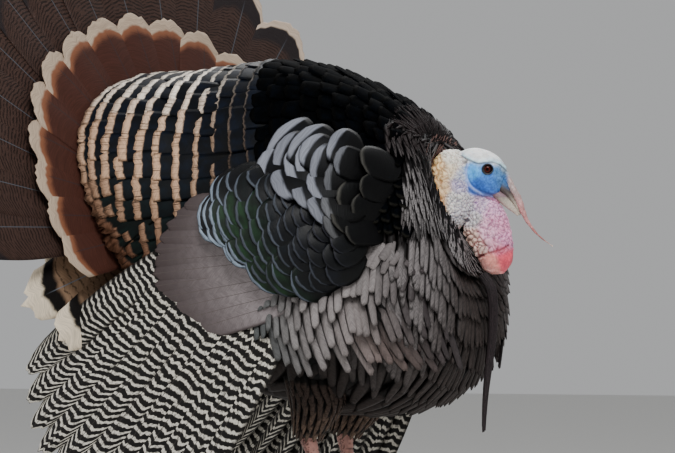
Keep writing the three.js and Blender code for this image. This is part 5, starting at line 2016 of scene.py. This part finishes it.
    def build(self) -> list[bpy.types.Object]:
        """Makes the feathers of the wing."""
        made = [self.scapular_piece(), self.covert_piece()]
        mauve = FanFinish("827a7b", "595152", "403737", "6f6561", 150.0, 92.0, 500.0, 11.0, 0.25, shaft="4d4542",
                          dark_soft=62.0, edge=0.75)
        barred = FanFinish("0c0a09", "beb9ae", "171412", "d8d2c6", 300.0, 900.0, 950.0, 9.5, 1.0, bar_start=0.05, waver=13.0,
                           broken=0.6, shaft="2a2623", edge=0.8)
        shape = VaneShape(lined=True, across=12, along=24, cup=0.1, arch=0.03, root=0.5, fullest=0.5, corner=0.16, squareness=2.2,
                          taper=0.1, fray=0.012, depth=0.6)
        second = self.flight_piece("secondary_feathers_" + self.word, 12, ((6, 448), (26, 392), (44, 338)),
                                   ((-112, 456), (-176, 412), (-182, 340), (-112, 290)), (-170.0, -178.0), 7.0, 36.0,
                                   shape, mauve.build("secondary_" + self.word), 61)
        first = self.flight_piece("primary_feathers_" + self.word, 11, ((-134, 410), (-40, 380), (24, 320)),
                                  ((-318, 268), (-336, 128), (-232, 44), (-140, 6)), (-163.0, -204.0), 0.0, 46.0,
                                  shape, barred.build("primary_" + self.word), 62)
        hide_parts("secondaries_" + self.word)
        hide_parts("primaries_" + self.word)
        return made + [second, first]


@dataclass(frozen=True)
class Flank:
    """The long grey feathers of one side of the breast and of the flank, in hanging columns.

    Each line is the middle of a column from the fold down, as x and z seen from the side."""

    side: float
    word: str
    swell: Pillow = Pillow((35, -138, 305), (108, 46, 84), 0)
    lines: tuple[tuple[float, ...], ...] = (
        (-24, 372, -34, 345, -32, 310, -24, 275, -12, 240),
        (34, 380, 24, 350, 26, 315, 36, 280, 50, 245),
        (101, 396, 88, 365, 91, 323, 105, 281, 120, 248),
        (145, 402, 132, 367, 132, 326, 147, 281, 162, 250),
        (180, 392, 180, 356, 184, 323, 190, 287, 194, 252),
    )
    columns: int = 24
    rows: int = 4
    length: float = 84.0
    hidden: float = 3.0
    drop: float = 150.0
    width: float = 14.0

    def build(self) -> list[bpy.types.Object]:
        """Makes the feathers."""
        rng = np.random.default_rng(91)
        ground = Shell(self.side, [(self.swell, 0.0, 0.0)])
        knots = np.array(self.lines, float).reshape(len(self.lines), -1, 2)
        column = np.repeat(np.arange(self.columns) + 0.0, self.rows)
        row = np.tile(np.arange(self.rows) + 0.0, self.columns)
        across = (column + 0.5 + rng.normal(0, 0.06, len(column))) / self.columns
        stagger = rng.uniform(-0.25, 0.25, self.columns)[column.astype(int)] + 0.25 * (column % 2)
        down = np.clip((row + 0.55 + stagger + rng.normal(0, 0.05, len(row))) / self.rows, 0.03, 1)
        at, ahead = self.place(knots, across, down), self.place(knots, across, np.clip(down - 0.06, 0, 1))
        way = unit(at - ahead + np.array([0.0, -1e-6]))
        length = np.minimum(self.length, self.hidden + self.drop * down) * rng.normal(1, 0.05, len(at))
        start = at - way * length[:, None]
        y, normal = ground.outside(at[:, 0], at[:, 1])
        y_root, _ = ground.outside(start[:, 0], start[:, 1])
        mirror = np.array([1.0, -self.side, 1.0])
        tip = np.stack([at[:, 0], y - 3.5 - rng.random(len(at)), at[:, 1]], -1) * mirror
        first = row < 1
        root = np.stack([start[:, 0], y_root + np.where(first, 1.0, 9.0), start[:, 1]], -1) * mirror
        tint = mixed(dye("4f5252"), dye("7f7978"), smooth(0.02, 0.35, across))
        tint = mixed(tint, dye("5f4b45"), smooth(0.5, 1.0, down) * smooth(0.35, 0.6, across) * 0.7)
        tint = mixed(tint, dye("403a3b"), smooth(0.6, 0.95, across)) * rng.uniform(0.7, 1.08, (len(at), 1))
        # Painted highlight: the first row, whose rounded tops swell out below the fold, is made a little lighter and
        # carries its pale tint from the root.
        tint = tint * np.where(first, 1.05, 1.0)[:, None]
        base = np.broadcast_to(dye("050404"), tint.shape)
        band = np.stack([np.where(first, -0.3, 0.2 + 0.15 * across), np.full(len(at), 0.965)], -1)
        cell = np.stack([0.03 + 0.94 * across, 0.03 + 0.94 * down], -1)
        width = self.width * (1 - 0.25 * smooth(0.5, 1.0, across)) * rng.normal(1, 0.06, len(at))
        feathers = Feathers(root, tip, unit(normal * mirror), width, base, base, tint, band, cell)
        finish = VaneFinish(roughness=0.5, streaks=0.3, soft=0.3, rim=0.86, gloss=0.15).build("flank_" + self.word)
        shape = VaneShape(across=6, along=9, cup=0.42, arch=0.02, root=0.4, fullest=0.35, corner=0.07, squareness=2.6,
                          taper=0.2)
        return [feathers.mesh("flank_feathers_" + self.word, shape, finish, 92)]

    def place(self, knots: Array, across: Array, down: Array) -> Array:
        """Where shares of the way across the columns and down them lie, as x and z."""
        made = np.zeros((len(across), 2))
        for index, (a, d) in enumerate(zip(across, down)):
            line = np.array([catmull(row, np.array([d]))[0] for row in knots])
            made[index] = catmull(line, np.array([a]))[0]
        return made


# ---- Studio -------------------------------------------------------------------------------------


@dataclass(frozen=True)
class Studio:
    """The pale floor, the soft lights and the camera."""

    azimuth: float = 25.0
    height: float = 0.425
    distance: float = 9.0
    width: float = 0.8235
    sensor: float = 36.0

    def lamp(self, name: str, place: tuple[float, float, float], size: float, power: float) -> None:
        """Adds a soft square light that looks at the bird."""
        light = bpy.data.lights.new(name, "AREA")
        light.shape, light.size, light.energy = "SQUARE", size, power
        made = bpy.data.objects.new(name, light)
        made.location = place
        aim = Vector((0.0, 0.0, 0.4)) - made.location
        made.rotation_euler = aim.to_track_quat("-Z", "Y").to_euler()
        bpy.context.scene.collection.objects.link(made)

    def build(self) -> None:
        """Sets up the world, the floor, the lights and the camera."""
        world = bpy.data.worlds.new("studio")
        world.use_nodes = True
        backdrop = world.node_tree.nodes["Background"]
        backdrop.inputs["Color"].default_value = (0.86, 0.87, 0.88, 1.0)
        backdrop.inputs["Strength"].default_value = 0.5
        bpy.context.scene.world = world
        mesh = bpy.data.meshes.new("floor")
        mesh.from_pydata([(-9, -9, 0), (9, -9, 0), (9, 9, 0), (-9, 9, 0)], [], [(0, 1, 2, 3)])
        floor = bpy.data.objects.new("floor", mesh)
        bpy.context.scene.collection.objects.link(floor)
        mesh.materials.append(Recipe("floor_paint").finish(Base_Color=dye("d9d8d5"), Roughness=0.85))
        turn = math.radians(self.azimuth)
        middle = Place.metres(np.array([0.0, 0.0, self.height * 1000]))
        self.lamp("key", (1.6, -2.6, 3.0), 1.6, 130.0)
        self.lamp("fill", (-2.6, -2.4, 1.6), 2.2, 58.0)
        self.lamp("back", (-0.6, 2.4, 2.6), 1.8, 60.0)
        camera = bpy.data.cameras.new("camera")
        camera.sensor_width = self.sensor
        camera.lens = self.sensor * self.distance / self.width
        made = bpy.data.objects.new("camera", camera)
        made.location = middle + self.distance * np.array([math.sin(turn), -math.cos(turn), 0.0])
        made.rotation_euler = (Vector(middle) - made.location).to_track_quat("-Z", "Y").to_euler()
        bpy.context.scene.collection.objects.link(made)
        bpy.context.scene.camera = made


# ---- The bird -----------------------------------------------------------------------------------


def main() -> None:
    """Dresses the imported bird, piece by piece."""
    logging.basicConfig(level=logging.INFO, format="%(name)s: %(message)s")
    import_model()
    Place.find()
    skin = Skin().build()
    limbs = [kind + leg.word for leg in LEGS for kind in ("thigh_", "shank_", "foot_")]
    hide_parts("trunk", "neck", "head", "wattle", "snood", "tail_root", *limbs)
    pieces = [skin]
    makers = (Eyes(), Bill(), *LEGS, TrunkCoat(), Beard(), Tail(), Wing(-1.0, "right"), Wing(1.0, "left"),
              Flank(-1.0, "right"), Flank(1.0, "left"))
    for maker in makers:
        made = maker.build()
        told = ", ".join("%s %d" % (one.name, len(one.data.loops) - 2 * len(one.data.polygons)) for one in made)
        LOG.info("%s: %s", type(maker).__name__, told)
        pieces += made
    for one in pieces:
        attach(one, "root")
    Studio().build()
    total = sum(len(one.data.polygons) for one in pieces)
    LOG.info("%d pieces, %d faces", len(pieces), total)


if __name__ == "__main__":
    main()
